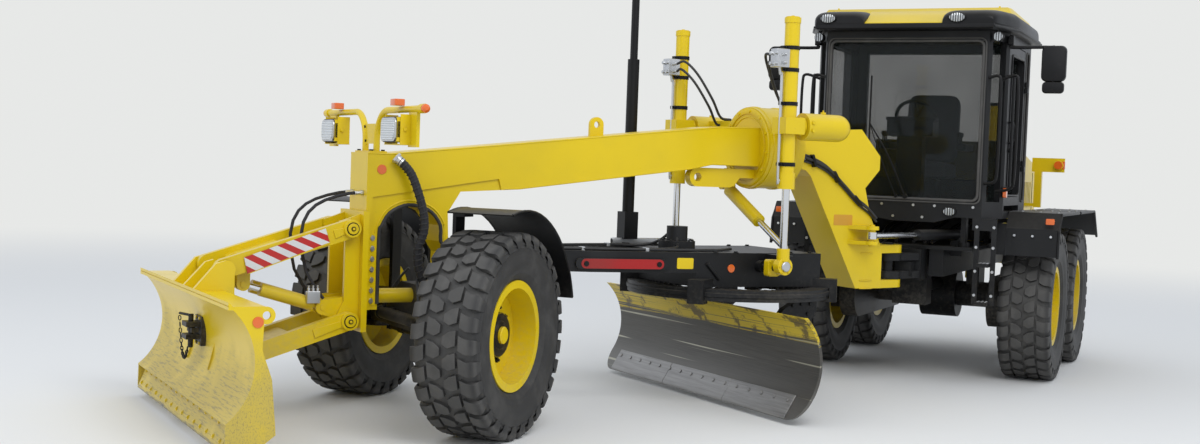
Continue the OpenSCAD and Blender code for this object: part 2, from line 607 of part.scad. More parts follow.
// A hose: an eight-sided tube swept along a smooth curve through its points, n steps a span
function bend(a, b, c, d, t) =
  (2 * b + (c - a) * t + (2 * a - 5 * b + 4 * c - d) * t * t + (3 * b - a - 3 * c + d) * t * t * t) / 2;
function curve(p, n) = let (e = len(p) - 1) [for (i = [0 : e - 1], j = [0 : n - 1])
  bend(p[max(i - 1, 0)], p[i], p[i + 1], p[min(i + 2, e)], j / n), p[e]];
module hose(points, r, n) {
  c = curve(points, n);
  last = len(c) - 1;
  k = 8;
  rings = [for (i = [0 : last])
    let (d = c[min(i + 1, last)] - c[max(i - 1, 0)], u0 = cross(d, [0.3, 1, 0.1]), u = u0 / norm(u0),
         v0 = cross(d, u), v = v0 / norm(v0))
    for (j = [0 : k - 1]) c[i] + r * (u * cos(360 * j / k) + v * sin(360 * j / k))];
  polyhedron(rings, [[for (j = [k - 1 : -1 : 0]) j], [for (j = [0 : k - 1]) last * k + j],
    for (i = [0 : last - 1], j = [0 : k - 1], h = [0, 1]) let (q = (j + 1) % k)
      h == 0 ? [i * k + j, i * k + q, i * k + k + q] : [i * k + j, i * k + k + q, i * k + k + j]]);
}
hose_r = 11;
hose_gap = 0.4;
// Hoses of the front frame: the sleeved bundle down the head, the two feeds of the dozer
// cylinders and the line along the goose neck
module hoses() color(black) on_front() {
  hose([[4410, 200, 1759], [4363, 225, 1715], [4316, 250, 1650], [4265, 262, 1518], [4225, 260, 1384],
    [4217, 250, 1269], [4245, 225, 1166], [4230, 190, 1040], [4170, 160, 914]], 28, 3);
  both() hose([[head_front + hose_gap, 100, 1520], [4700, 100, 1512], [4862, 105, 1465], [4974, 112, 1384], [5023, 120, 1232],
    [4985, 135, 990], [dozer_cyl[0], 149, 818]], hose_r, 2);
  side = hb + hose_r + hose_gap;
  hose([[1085, side, 1905], [800, side, 1800], [640, side, 1680], [498, side, 1560], [380, side, 1490]],
    hose_r, 1);
}

// Saddle: drum on the neck, the cross arm and the two swivel tubes for the lift cylinders
yoke_z = lift_pivot_z;
module saddle() color(yellow) on_front() {
  x0 = saddle_front_x - saddle_len;
  difference() {
    union() {
      bar_x(saddle_r, x0, saddle_front_x, 0, saddle_z);
      both() {
        box([x0 + 40, 150, yoke_z - 60], [x0 + 250, lift_y - 60, yoke_z + 60]);
        bar_x(100, x0 + 40, lift_x - 120, lift_y, yoke_z);
        translate([x0 + 40, lift_y, yoke_z]) sphere(100);
      }
      plate_y(50, 120) {
        strap([1970, 1703], [1690, 1703], 72);
        polygon([[saddle_front_x - 12, 1706], [1590, 1706], [1640, 1640], [1700, 1640], [1700, 1775], [saddle_front_x - 12, 1775]]);
      }
      plate_x(saddle_front_x - 20, shift_pivot[0] - 35) polygon([[-165, 1620], [-165, 1600], [-235, 1600],
        [-262, 1780], [-175, 1755]]);
    }
    bar_x(neck_r + seat_gap, x0 - 1, saddle_front_x + 1, 0, saddle_z);
    both() bar_x(40 + pin_play, lift_x - 300, lift_x - 119, lift_y, yoke_z);
    bar_y(32, 40, 130, 1970, 1703);
  }
  bar_x(18, shift_pivot[0] - 40, shift_pivot[0] + 32, shift_pivot[1], shift_pivot[2]);
}

// Front axle beam, hung on the oscillation pin
module front_axle() color(charcoal) on_front() difference() {
  union() {
    plate_x(axle_x - 90, axle_x + 90) polygon([[-790, 570], [790, 570], [790, 745], [500, 750], [200, 900], [-200, 900], [-500, 750], [-790, 745]]);
    both() bar_z(55, 560, 760, axle_x, kingpin_y);
    both() box([axle_x - 50, 780, 575], [axle_x + 50, kingpin_y, 745]);
  }
  bar_x(50 + seat_gap, axle_x - 91, axle_x + 91, 0, osc_z);
  both() bar_z(kingpin_r + pin_play, 559, 761, axle_x, kingpin_y);
}

// Work lamps and indicators on two bent tubes over the nose of the beam
module lamp_frame() color(yellow) on_front() {
  x = 4520;
  box([x - 60, -150, 1790], [x + 60, 150, 1802]);
  plate_x(x - 5, x + 5) polygon([[-118, 1850], [118, 1850], [150, 1985], [-150, 1985]]);
  both() {
    bar_z(22, 1800, 1870, x, 110);
    translate([x, 310, 1870]) rotate([90, 0, 90]) rotate([0, 0, 90]) rotate_extrude(angle = 90) translate([200, 0]) circle(22);
    bar_y(22, 310, 900, x, 2070);
    box([x - 10, 720, 1830], [x + 12, 860, 2050]);
    box([x + 12, 480, 1862], [x + 100, 750, 2015]);
    box([x + 12, 700, 1900], [x + 40, 760, 1960]);
    bar_y(30, 900, 960, x, 2070);
  }
}

// Steering knuckle with kingpin, fork, spindle and the mudguard on its bracket
guard_r = 800;
module knuckle() {
  w = wheel_y - kingpin_y;
  bar_z(kingpin_r, 520, 800, 0, 0);
  translate([0, 0, 515]) linear_extrude(40) strap([0, 0], [-steer_arm, 0], 36);
  bar_z(tie_pin_r, tie_z - 24, 516, -steer_arm, 0);
  for (z = [[515, 555], [765, 800]]) {
    bar_z(70, z[0], z[1], 0, 0);
    box([-70, 0, z[0]], [70, w - 40, z[1]]);
  }
  box([-70, 60, 515], [70, w - 40, 800]);
  translate([0, w, axle_z]) {
    bar_y(150, hub_w[0] - 40, hub_w[0] - 15, 0, 0);
    bar_y(110, hub_w[0] - 15, hub_w[0] - clear, 0, 0);
    bar_y(spindle_r, hub_w[0] - clear, hub_w[1] - 45, 0, 0);
  }
  box([-60, w - 265, 765], [60, 0, 800]);
  box([-60, w - 265, 765], [60, w - 240, axle_z + guard_r - 20]);
  box([-60, w - 265, axle_z + guard_r - 60], [60, w - 180, axle_z + guard_r - 20]);
  box([-10, w - 265, axle_z + guard_r - 21], [10, w - 180, axle_z + guard_r - 2]);
  translate([0, w, axle_z]) intersection() {
    difference() {
      bar_y(guard_r, -225, 230, 0, 0);
      bar_y(guard_r - 8, -226, 231, 0, 0);
    }
    plate_y(-300, 300) polygon([[0, 0], [260, 970], [-1000, 970], [-1000, 250]]);
  }
}
steer_arm = 170;
tie_z = 490;
tie_pin_r = 18;
// Tie rod: joins the two steering arms, so that both knuckles turn alike
module tie_rod() color(black) on_front() {
  x = axle_x - steer_arm * cos(steer_rest);
  y = -steer_arm * sin(steer_rest);
  difference() {
    union() {
      bar_y(20, y - kingpin_y, y + kingpin_y, x, tie_z);
      for (s = [1, -1]) {
        bar_z(34, tie_z - 18, tie_z + 18, x, y + s * kingpin_y);
        bar_y(27, y + s * (kingpin_y - 240) - 50, y + s * (kingpin_y - 240) + 50, x, tie_z);
      }
    }
    for (s = [1, -1]) bar_z(tie_pin_r + pin_play, tie_z - 30, tie_z + 30, x, y + s * kingpin_y);
  }
}
module knuckle_left() color(black) on_knuckle(1) knuckle();
module knuckle_right() color(black) on_knuckle(-1) knuckle();

// Bearing shell between the drawbar's ball and the socket in the head
module ball_seat() color(steel) on_front() translate([ball_x, 0, ball_z]) rotate([0, 90, 0])
  rotate_extrude() difference() {
    circle(ball_r + 10);
    circle(ball_r + pin_play);
    translate([-100, -100]) square([100, 200]);
    translate([0, -100]) square([100, 88]);
    translate([0, 40]) square([100, 100]);
  }

// Drawbar: welded frame from the ball back over the circle
draw_z = [1000, 1150];
foot_ball_r = 46;
stud_y = lift_y - foot_ball_r - 28;
module drawbar() color(charcoal) on_front() difference() {
  union() {
    translate([ball_x, 0, ball_z]) sphere(ball_r);
    bar_x(30, 3640, ball_x, 0, ball_z);
    translate([0, 0, draw_z[0]]) linear_extrude(draw_z[1] - draw_z[0])
      polygon([[3680, -60], [3680, 60], [3550, 80], [2950, 300], [2150, 420], [1050, 470],
        [1050, -470], [2150, -420], [2950, -300], [3550, -80]]);
    translate([0, 0, circle_z + clear]) linear_extrude(draw_z[0] - circle_z - clear)
      polygon([[2150, 420], [1050, 470], [1050, -470], [2150, -420]]);
    both() {
      for (a = [40, 140]) translate([circle_x, 0, 0]) rotate([0, 0, a]) {
        box([350, -60, circle_z + seat_gap], [circle_r + 60, 60, 960]);
        box([circle_r + 5, -60, circle_z - circle_t - 25], [circle_r + 60, 60, 960]);
        box([circle_r - 60, -60, circle_z - circle_t - 25], [circle_r + 60, 60, circle_z - circle_t - seat_gap]);
      }
      bar_y(24, 400, stud_y, lift_x - 12, lift_ball_z - 22);
      bar_y(45, 400, 500, lift_x - 12, lift_ball_z - 22);
    }
    box([1455, 400, 1040], [1545, 670, 1145]);
    translate([2150, 420, 0]) rotate([0, 0, atan2(-120, 800)]) plate_y(-1, 25) strap([260, 1062], [900, 1062], 38);
    bar_z(140, draw_z[1] - 1, 1215, 2060, 0);
    bar_z(80, 1214, 1325, 2060, 0);
    bar_x(20, 1620, 2360, -480, 1178);
    for (x = [1750, 2000, 2250]) box([x, -495, 1120], [x + 30, -390, 1170]);
  }
  translate([0, 0, 800]) linear_extrude(400) polygon([[2900, 170], [2900, -170], [2290, -300], [2290, 300]]);
}

// Sensor mast parked on the drawbar's side bar
mast = [2222, -480];
module sensor_mast() color(black) on_front() {
  box([mast[0] - 60, mast[1] - 60, 1198], [mast[0] + 60, mast[1] + 60, 1410]);
  bar_z(46, 1410, 2600, mast[0], mast[1]);
  bar_z(30, 2600, 3440, mast[0], mast[1]);
}

// Inner outline of the circle, with its drive teeth: [share of a pitch, radius] of each corner
tooth_n = 60;
tooth_r = [circle_r - 164, circle_r - 136];
module tooth_gaps() polygon([for (i = [0 : tooth_n - 1],
    c = [[0, tooth_r[1]], [0.45, tooth_r[1]], [0.6, tooth_r[0]], [0.85, tooth_r[0]]])
  let (a = (i + c[0]) * 360 / tooth_n) c[1] * [cos(a), sin(a)]]);
// Circle: the toothed ring under the drawbar, with the two blade arms
arm_y = [500, 560];
circle_t = 82;
carrier_pin = [1500, 300];
module circle_ring() color(charcoal) on_front() {
  translate([circle_x, 0, circle_z - circle_t]) difference() {
    cylinder(r = circle_r, h = circle_t, $fn = 96);
    translate([0, 0, -1]) linear_extrude(circle_t + 2) tooth_gaps();
  }
  both() {
    plate_y(arm_y[0], arm_y[1]) {
      z = circle_z - circle_t + 1;
      polygon([[1140, z], [1300, z], [1440, 740], [1520, 640], [1530, 300], [1440, 300], [1380, 520], [1140, 690]]);
      translate(carrier_pin) circle(60);
    }
    bar_y(25, arm_y[1] - 1, arm_y[1] + 66, carrier_pin[0], carrier_pin[1]);
  }
}

// Blade carrier: cheeks on the arm pins and the two rails that the blade slides on
rails = [[1612, 240], [1625, 600]];
rail_hw = [18, 25];
module blade_carrier() color(charcoal) on_front() difference() {
  union() {
    both() plate_y(arm_y[1] + clear, arm_y[1] + 65) {
      polygon([[carrier_pin[0] - 55, 300], [carrier_pin[0] - 30, 245], [1560, 195], [1645, 195], [1645, 285],
        [1576, 300], [1576, 545], [1655, 555], [1655, 645], [1560, 645], [1470, 420]]);
    }
    box([1558, -arm_y[1] - clear - 1, 320], [1576, arm_y[1] + clear + 1, 545]);
  }
  both() bar_y(25 + pin_play, arm_y[1], arm_y[1] + 70, carrier_pin[0], carrier_pin[1]);
  for (p = rails) box([p[0] - rail_hw[0] - seat_gap, -700, p[1] - rail_hw[1] - seat_gap],
    [p[0] + rail_hw[0] + seat_gap, 700, p[1] + rail_hw[1] + seat_gap]);
}

// Grading blade: rolled plate with a bolted cutting edge and round lower corners
blade_c = [2110, 430];
blade_R = 430;
edge_top = [1747, 200];
edge_low = [1851, 35];
module grading_blade() color(yellow) on_front() {
  y0 = blade_shift - blade_len / 2;
  y1 = blade_shift + blade_len / 2;
  intersection() {
    plate_y(y0, y1) {
      difference() {
        translate(blade_c) circle(blade_R + blade_t, $fn = 96);
        translate(blade_c) circle(blade_R, $fn = 96);
        translate([blade_c[0] - 230, 0]) square([1200, 1200]);
        translate([1000, edge_top[1] - 1000]) square([2000, 1000]);
        translate([1000, blade_top_z]) square([2000, 1000]);
      }
      polygon([edge_top, [edge_top[0] + 8, edge_top[1] - 12], edge_low, edge_low - [30, 0], [edge_top[0] - 30, edge_top[1] + 5], [edge_top[0] - 20, edge_top[1] + 20]]);
    }
    plate_x(1000, 2500) {
      translate([y0 + 150, 185]) circle(150);
      translate([y1 - 150, 185]) circle(150);
      translate([y0 + 150, 30]) square([blade_len - 300, 200]);
      translate([y0, 185]) square([blade_len, 900]);
    }
  }
  for (p = rails) {
    box([p[0] - rail_hw[0], y0 + 150, p[1] - rail_hw[1]], [p[0] + rail_hw[0], y1 - 150, p[1] + rail_hw[1]]);
    for (y = [y0 + 150, y1 - 200]) box([p[0], y, p[1] - rail_hw[1]], [p[0] + 80, y + 50, p[1] + rail_hw[1]]);
  }
}

// Lift cylinders: barrels swivel in the saddle's tubes, rods end in eyes over the balls
module lift_barrel(s) on_front() translate([lift_x, s * lift_y, 0]) difference() {
  union() {
    bar_z(lift_barrel_r, 1640, 2870, 0, 0);
    bar_z(lift_barrel_r + 8, 1640, 1760, 0, 0);
    bar_z(lift_barrel_r + 5, 2845, 2885, 0, 0);
    box([lift_barrel_r - 10, -45, 2520], [150, 45, 2650]);
    bar_z(10, 1700, 2530, lift_barrel_r + 22, 0);
    box([-85, -85, lift_pivot_z - 60], [85, 85, lift_pivot_z + 60]);
    bar_x(40, -290, -80, 0, lift_pivot_z);
    bar_x(70, -115, -80, 0, lift_pivot_z);
  }
  bar_z(lift_rod_r + pin_play, 1600, 2830, 0, 0);
}
module lift_rod(s) on_front() translate([lift_x, s * lift_y, 0]) {
  bar_z(lift_rod_r, lift_ball_z + 50, 2200, 0, 0);
  bar_z(42, lift_ball_z + 40, lift_ball_z + 130, 0, 0);
  bar_y(58, -28, 28, 0, lift_ball_z);
  translate([0, 0, lift_ball_z]) sphere(foot_ball_r);
}
module lift_barrel_left() color(yellow) lift_barrel(1);
module lift_barrel_right() color(yellow) lift_barrel(-1);
module lift_rod_left() color(steel) lift_rod(1);
module lift_rod_right() color(steel) lift_rod(-1);

// Side-shift cylinder, from the saddle's right ear down to the drawbar's left side
shift_pivot = [1515, -200, 1650];
shift_end = [1515, 630, 1205];
shift_vec = [0, shift_end[1] - shift_pivot[1], shift_end[2] - shift_pivot[2]];
shift_ang = atan2(shift_vec[2], shift_vec[1]);
shift_len = norm(shift_vec);
module along_shift() { on_front() translate(shift_pivot) rotate([shift_ang, 0, 0]) children(); }
module shift_barrel() color(yellow) along_shift() difference() {
  union() {
    bar_y(50, 90, 560, 0, 0);
    bar_x(40, -30, 30, 0, 0);
    bar_y(26, 0, 95, 0, 0);
  }
  bar_y(25 + pin_play, 110, 570, 0, 0);
  bar_x(18 + pin_play, -40, 40, 0, 0);
}
module shift_rod() color(steel) along_shift() {
  bar_y(25, 200, shift_len, 0, 0);
  translate([0, shift_len, 0]) sphere(30);
}

// Articulation cylinders between the rear frame's deck and the goose neck
artic_cyl_z = 1285;
artic_rear = [-740, 430];
artic_front = [420, 300];
// The front eye's place on the rear frame's axes, on side s
function artic_eye(s) = [artic_front[0] * c_a + s * artic_front[1] * s_a,
  -artic_front[0] * s_a + s * artic_front[1] * c_a];
function artic_len(s) = norm(artic_eye(s) - [artic_rear[0], s * artic_rear[1]]);
function artic_dir(s) = let (d = artic_eye(s) - [artic_rear[0], s * artic_rear[1]]) atan2(d[1], d[0]);
module along_artic(s) {
  on_rear() translate([artic_rear[0], s * artic_rear[1], artic_cyl_z]) rotate([0, 0, artic_dir(s)]) children();
}
module artic_barrel(s) along_artic(s) difference() {
  union() {
    bar_z(42, -30, 30, 0, 0);
    bar_x(45, 30, 660, 0, 0);
  }
  bar_z(22 + pin_play, -31, 31, 0, 0);
  bar_x(24 + pin_play, 60, 661, 0, 0);
}
module artic_rod(s) along_artic(s) {
  bar_x(24, artic_len(s) - 770, artic_len(s) - 30, 0, 0);
  bar_z(42, -27, 27, artic_len(s), 0);
}
module artic_barrel_left() color(charcoal) artic_barrel(1);
module artic_barrel_right() color(charcoal) artic_barrel(-1);
module artic_rod_left() color(steel) artic_rod(1);
module artic_rod_right() color(steel) artic_rod(-1);

// Dozer linkage: lower arms, upper links, blade with its carrier, and two cylinders
dozer_link = [825, -262];
dozer_low_front = [dozer_pin_x + dozer_link[0], dozer_low_z + dozer_link[1]];
dozer_up_front = [dozer_pin_x + dozer_link[0], dozer_up_z + dozer_link[1]];
dozer_cyl = [4870, 760];
dozer_rod_end = [5400, 915];
dozer_cyl_y = 115;
arm_side = [185, 245];
module dozer_arms() color(yellow) on_front() difference() {
  union() {
    both() plate_y(arm_side[0], arm_side[1]) strap([dozer_pin_x, dozer_low_z], dozer_low_front, 60);
    plate_y(-arm_side[0] - 1, arm_side[0] + 1) strap([5080, 560], [5200, 520], 35);
  }
  both() bar_y(dozer_pin_r + pin_play, 100, 300, dozer_pin_x, dozer_low_z);
  both() bar_y(dozer_pin_r + pin_play, 100, 300, dozer_low_front[0], dozer_low_front[1]);
}
module dozer_links() color(yellow) on_front() difference() {
  union() {
    both() plate_y(arm_side[0], arm_side[1]) strap([dozer_pin_x, dozer_up_z], dozer_up_front, 62);
    plate_y(arm_side[1] - 1, arm_side[1] + 12)
      polygon([[4907, 1262], [4871, 1185], [5394, 991], [5425, 1078]]);
    plate_y(-arm_side[0] - 1, arm_side[0] + 1) strap([5120, 1158], [5420, 1062], 25);
    both() for (y = [-40, 28]) plate_y(dozer_cyl_y + y, dozer_cyl_y + y + 12)
      strap([5400, 1060], dozer_rod_end, 42);
    both() for (y = [-48, 28]) bar_y(20, dozer_cyl_y + y, dozer_cyl_y + y + 20, dozer_rod_end[0], dozer_rod_end[1]);
  }
  both() bar_y(dozer_pin_r + pin_play, 100, 300, dozer_pin_x, dozer_up_z);
  both() bar_y(dozer_pin_r + pin_play, 100, 300, dozer_up_front[0], dozer_up_front[1]);
}
dozer_c = [6040, 560];
dozer_R = 430;
module dozer_blade() color(yellow) on_front() {
  difference() {
    union() {
      plate_y(-dozer_hw, dozer_hw) {
        difference() {
          translate(dozer_c) circle(dozer_R + 15, $fn = 96);
          translate(dozer_c) circle(dozer_R, $fn = 96);
          translate([5770, 0]) square([1500, 1500]);
          translate([5000, -800]) square([2000, 1020]);
        }
        polygon([[5708, 222], [5770, 70], [5750, 62], [5688, 222]]);
        polygon([[5560, 890], [5769, 890], [5769, 870], [5560, 870]]);
      }
      both() plate_y(dozer_hw - 20, dozer_hw) difference() {
        union() {
          polygon([[5760, 890], [5560, 890], [5570, 640], [5510, 470], [5480, 150], [5560, 90], [5750, 60], [5770, 70]]);
          translate([5550, 838]) circle(50);
        }
        translate(dozer_c) circle(dozer_R, $fn = 96);
        translate([5550, 838]) circle(24);
      }
      both() {
        plate_y(260, 300) {
          polygon([[5505, 370], [5490, 440], [5495, 1040], [5560, 1075], [5610, 1060],
            [5755, 890], [5640, 870], [5600, 600], [5650, 400], [5600, 350]]);
          for (p = [dozer_low_front, dozer_up_front]) translate(p) circle(55);
        }
        bar_y(dozer_pin_r, 180, 262, dozer_low_front[0], dozer_low_front[1]);
        bar_y(dozer_pin_r, 180, 262, dozer_up_front[0], dozer_up_front[1]);
      }
      plate_y(-20, 20) polygon([[5561, 889], [5500, 960], [5510, 1030], [5560, 1065], [5610, 1050], [5755, 889]]);
      plate_y(-dozer_hw + 60, dozer_hw - 60) polygon([[5716, 228], [5782, 66], [5768, 60], [5700, 222]]);
      tow_jaw();
    }
    bar_z(18, 400, 760, 5690, 0);
  }
}
// Tow jaw in the middle of the dozer blade
module tow_jaw() {
  for (z = [560, 640]) box([5600, -60, z], [5730, 60, z + 25]);
  box([5590, -80, 520], [5640, 80, 700]);
}
dozer_cyl_vec = dozer_rod_end - dozer_cyl;
dozer_cyl_ang = atan2(dozer_cyl_vec[1], dozer_cyl_vec[0]);
dozer_cyl_len = norm(dozer_cyl_vec);
module along_dozer_cyl() {
  on_front() translate([dozer_cyl[0], 0, dozer_cyl[1]]) rotate([0, -dozer_cyl_ang, 0]) children();
}
module dozer_barrels() color(yellow) along_dozer_cyl() difference() {
  both() translate([0, dozer_cyl_y, 0]) {
    bar_y(38, -23, 23, 0, 0);
    bar_x(20, 20, 75, 0, 0);
    bar_x(44, 70, 430, 0, 0);
  }
  bar_y(20 + pin_play, -200, 200, 0, 0);
  for (s = [1, -1]) translate([0, s * dozer_cyl_y, 0]) bar_x(20 + pin_play, 90, 431, 0, 0);
}
module dozer_rods() color(steel) along_dozer_cyl() both() translate([0, dozer_cyl_y, 0]) {
  bar_x(20, 165, dozer_cyl_len - 10, 0, 0);
  bar_y(34, -23, 23, dozer_cyl_len, 0);
}

rear_frame();
tandem_axle();
engine_block();
engine_hood();
rear_bumper();
cab_mounts();
cab_base();
cab_shell();
cab_roof();
cab_glass();
seat();
console();
mudguards();
steps();
fuel_tank();
mirrors();
cab_door();
door_glass();
tyre_rear_left_1();
rim_rear_left_1();
tyre_rear_left_2();
rim_rear_left_2();
tyre_rear_right_1();
rim_rear_right_1();
tyre_rear_right_2();
rim_rear_right_2();
goose_neck();
front_frame();
saddle();
front_axle();
lamp_frame();
knuckle_left();
knuckle_right();
tie_rod();
hoses();
tyre_front_left();
rim_front_left();
tyre_front_right();
rim_front_right();
ball_seat();
drawbar();
sensor_mast();
circle_ring();
blade_carrier();
grading_blade();
lift_barrel_left();
lift_rod_left();
lift_barrel_right();
lift_rod_right();
shift_barrel();
shift_rod();
artic_barrel_left();
artic_rod_left();
artic_barrel_right();
artic_rod_right();
dozer_arms();
dozer_links();
dozer_blade();
dozer_barrels();
dozer_rods();
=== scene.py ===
import bmesh
import bpy
import json
import math
import numpy as np
from mathutils import Matrix, Vector


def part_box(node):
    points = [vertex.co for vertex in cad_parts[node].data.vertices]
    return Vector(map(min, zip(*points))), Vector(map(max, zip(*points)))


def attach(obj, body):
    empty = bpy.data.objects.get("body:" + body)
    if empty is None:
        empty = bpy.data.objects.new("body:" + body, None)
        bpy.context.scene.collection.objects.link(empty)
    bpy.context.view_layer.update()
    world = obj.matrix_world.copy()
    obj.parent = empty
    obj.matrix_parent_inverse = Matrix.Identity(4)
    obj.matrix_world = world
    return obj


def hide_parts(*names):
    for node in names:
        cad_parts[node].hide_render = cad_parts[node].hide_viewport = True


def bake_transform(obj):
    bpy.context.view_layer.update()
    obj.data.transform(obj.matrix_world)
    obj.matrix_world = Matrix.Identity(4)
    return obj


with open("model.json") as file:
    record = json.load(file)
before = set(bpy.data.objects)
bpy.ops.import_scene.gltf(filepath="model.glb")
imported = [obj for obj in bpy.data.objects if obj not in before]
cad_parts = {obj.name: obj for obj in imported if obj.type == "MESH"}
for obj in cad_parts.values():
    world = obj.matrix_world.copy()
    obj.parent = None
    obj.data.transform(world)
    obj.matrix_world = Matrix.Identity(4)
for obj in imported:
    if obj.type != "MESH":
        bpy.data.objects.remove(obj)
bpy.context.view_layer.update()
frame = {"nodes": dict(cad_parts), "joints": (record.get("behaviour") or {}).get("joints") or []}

# Where the photograph was taken from. The machine's two halves are measured from the
# articulation pin: the rear half lies along the row's X, the front half is turned with
# the joint. The camera stands low, 11.7 m ahead of the pin and 2.8 m to its left.
joint = {j["name"]: j for j in frame["joints"]}
pin = np.array(joint["articulation"]["pos_m"][:2])
across = np.array(joint["drawbar_lift"]["axis"])
ahead = np.array([across[1], -across[0], 0.0])


def rear(points):
    """Points of the rear half, x ahead of the pin, y to the left and z up, in the row frame."""
    p = np.asarray(points, float)
    return p + np.array([pin[0], pin[1], 0.0])


def front(points):
    """Points of the front half: x times its way ahead plus y times its left, from the pin."""
    p = np.asarray(points, float)
    return (p[..., :1] * ahead + p[..., 1:2] * across
            + p[..., 2:3] * np.array([0.0, 0.0, 1.0]) + np.array([pin[0], pin[1], 0.0]))


heading = math.radians(25.01)
tip = math.radians(2.19)
lean = math.radians(2.14)
level_ahead = Vector((-math.cos(heading), -math.sin(heading), 0))
level_right = Vector((-math.sin(heading), math.cos(heading), 0))
looking = level_ahead * math.cos(tip) - Vector((0, 0, 1)) * math.sin(tip)
upright = level_ahead * math.sin(tip) + Vector((0, 0, 1)) * math.cos(tip)
rightward = level_right * math.cos(lean) + upright * math.sin(lean)
top_side = upright * math.cos(lean) - level_right * math.sin(lean)
eye_point = Vector(rear([11.703, 2.817, 1.746]))
focal_pixels = 1421
photo_width = 1200
sensor_mm = 36
camera_data = bpy.data.cameras.new("photo_camera")
camera_data.lens = focal_pixels / photo_width * sensor_mm
camera_data.sensor_width = sensor_mm
camera_data.sensor_fit = "HORIZONTAL"
camera_data.clip_end = 200
camera = bpy.data.objects.new("photo_camera", camera_data)
camera.matrix_world = Matrix((
    (rightward.x, top_side.x, -looking.x, eye_point.x),
    (rightward.y, top_side.y, -looking.y, eye_point.y),
    (rightward.z, top_side.z, -looking.z, eye_point.z),
    (0, 0, 0, 1)))
bpy.context.scene.collection.objects.link(camera)
bpy.context.scene.camera = camera


# Yellow paintwork: the beam, goose neck, hood, rims, cylinders and dozer gear. Sprayed gloss
# enamel over steel with orange peel and faded patches. Dust lies on what faces up, and
# mud has splashed over the lowest metre.
class Wire:
    """A value that varies over a surface. The signs + - and * with it add Math nodes."""

    def __init__(self, finish, socket):
        self.finish = finish
        self.socket = socket

    def __add__(self, other):
        return self.finish.sum("ADD", self, other)

    def __radd__(self, other):
        return self.finish.sum("ADD", other, self)

    def __sub__(self, other):
        return self.finish.sum("SUBTRACT", self, other)

    def __rsub__(self, other):
        return self.finish.sum("SUBTRACT", other, self)

    def __mul__(self, other):
        return self.finish.sum("MULTIPLY", self, other)

    def __rmul__(self, other):
        return self.finish.sum("MULTIPLY", other, self)


class Finish:
    """A surface finish: a Principled shader and the nodes that vary it over the place in metres."""

    def __init__(self, name, color=(0.5, 0.5, 0.5), **surface):
        self.material = bpy.data.materials.new(name)
        self.material.use_nodes = True
        self.tree = self.material.node_tree
        self.shader = self.tree.nodes["Principled BSDF"]
        self.set(Base_Color=color, **surface)
        self.place = self.node("ShaderNodeTexCoord", "Object")

    def feed(self, socket, value):
        """Links a wire to the socket, or writes a plain number or colour into it."""
        if isinstance(value, Wire):
            self.tree.links.new(value.socket, socket)
        elif isinstance(value, tuple) and len(value) == 3 and len(socket.default_value) == 4:
            socket.default_value = (*value, 1)
        else:
            socket.default_value = value

    def node(self, kind, out=0, settings=None, inputs=None):
        """Any node: its settings first, then a value or wire for each input named or numbered."""
        made = self.tree.nodes.new(kind)
        for key, value in (settings or {}).items():
            setattr(made, key, value)
        for key, value in (inputs or {}).items():
            self.feed(made.inputs[key], value)
        return Wire(self, made.outputs[out])

    def sum(self, operation, first, second):
        """A Math node of the given operation on two numbers or wires."""
        return self.node("ShaderNodeMath", 0, {"operation": operation}, {0: first, 1: second})

    def axis(self, name):
        """One coordinate of the place, in metres."""
        return self.node("ShaderNodeSeparateXYZ", name, None, {0: self.place})

    def facing(self, name):
        """One coordinate of the surface's normal."""
        normal = self.node("ShaderNodeNewGeometry", "Normal")
        return self.node("ShaderNodeSeparateXYZ", name, None, {0: normal})

    def noise(self, scale, detail=3.0, rough=0.5, at=None):
        """Cloudy noise from 0 to 1, with scale bumps a metre."""
        inputs = {"Vector": at or self.place, "Scale": scale, "Detail": detail, "Roughness": rough}
        return self.node("ShaderNodeTexNoise", "Fac", None, inputs)

    def drawn(self, x, y, z, turn=0.0):
        """The place turned about Z by -turn, then x, y and z times as fine, for brush lines."""
        inputs = {"Vector": self.place, "Rotation": (0, 0, turn), "Scale": (1 / x, 1 / y, 1 / z)}
        return self.node("ShaderNodeMapping", 0, {"vector_type": "TEXTURE"}, inputs)

    def rise(self, value, low, high):
        """0 where value is at low, 1 at high and a smooth curve between."""
        inputs = {"Value": value, "From Min": low, "From Max": high}
        return self.node("ShaderNodeMapRange", 0, {"interpolation_type": "SMOOTHSTEP"}, inputs)

    def mix(self, amount, first, second):
        """The first colour turning into the second as amount goes from 0 to 1."""
        return self.node("ShaderNodeMix", 2, {"data_type": "RGBA"}, {0: amount, 6: first, 7: second})

    def bump(self, height, depth, strength=1.0):
        """A normal for relief that is depth metres deep where height goes from 0 to 1."""
        return self.node("ShaderNodeBump", 0, None,
                         {"Height": height, "Distance": depth, "Strength": strength})

    def set(self, **inputs):
        """Feeds the shader's sockets, with _ for each space in a name, and gives the material."""
        for key, value in inputs.items():
            self.feed(self.shader.inputs[key.replace("_", " ")], value)
        return self.material


def dress(material, *nodes):
    """Puts a material on CAD nodes."""
    for name in nodes:
        mesh = frame["nodes"][name].data
        mesh.materials.clear()
        mesh.materials.append(material)


dust_color = (0.33, 0.29, 0.23)


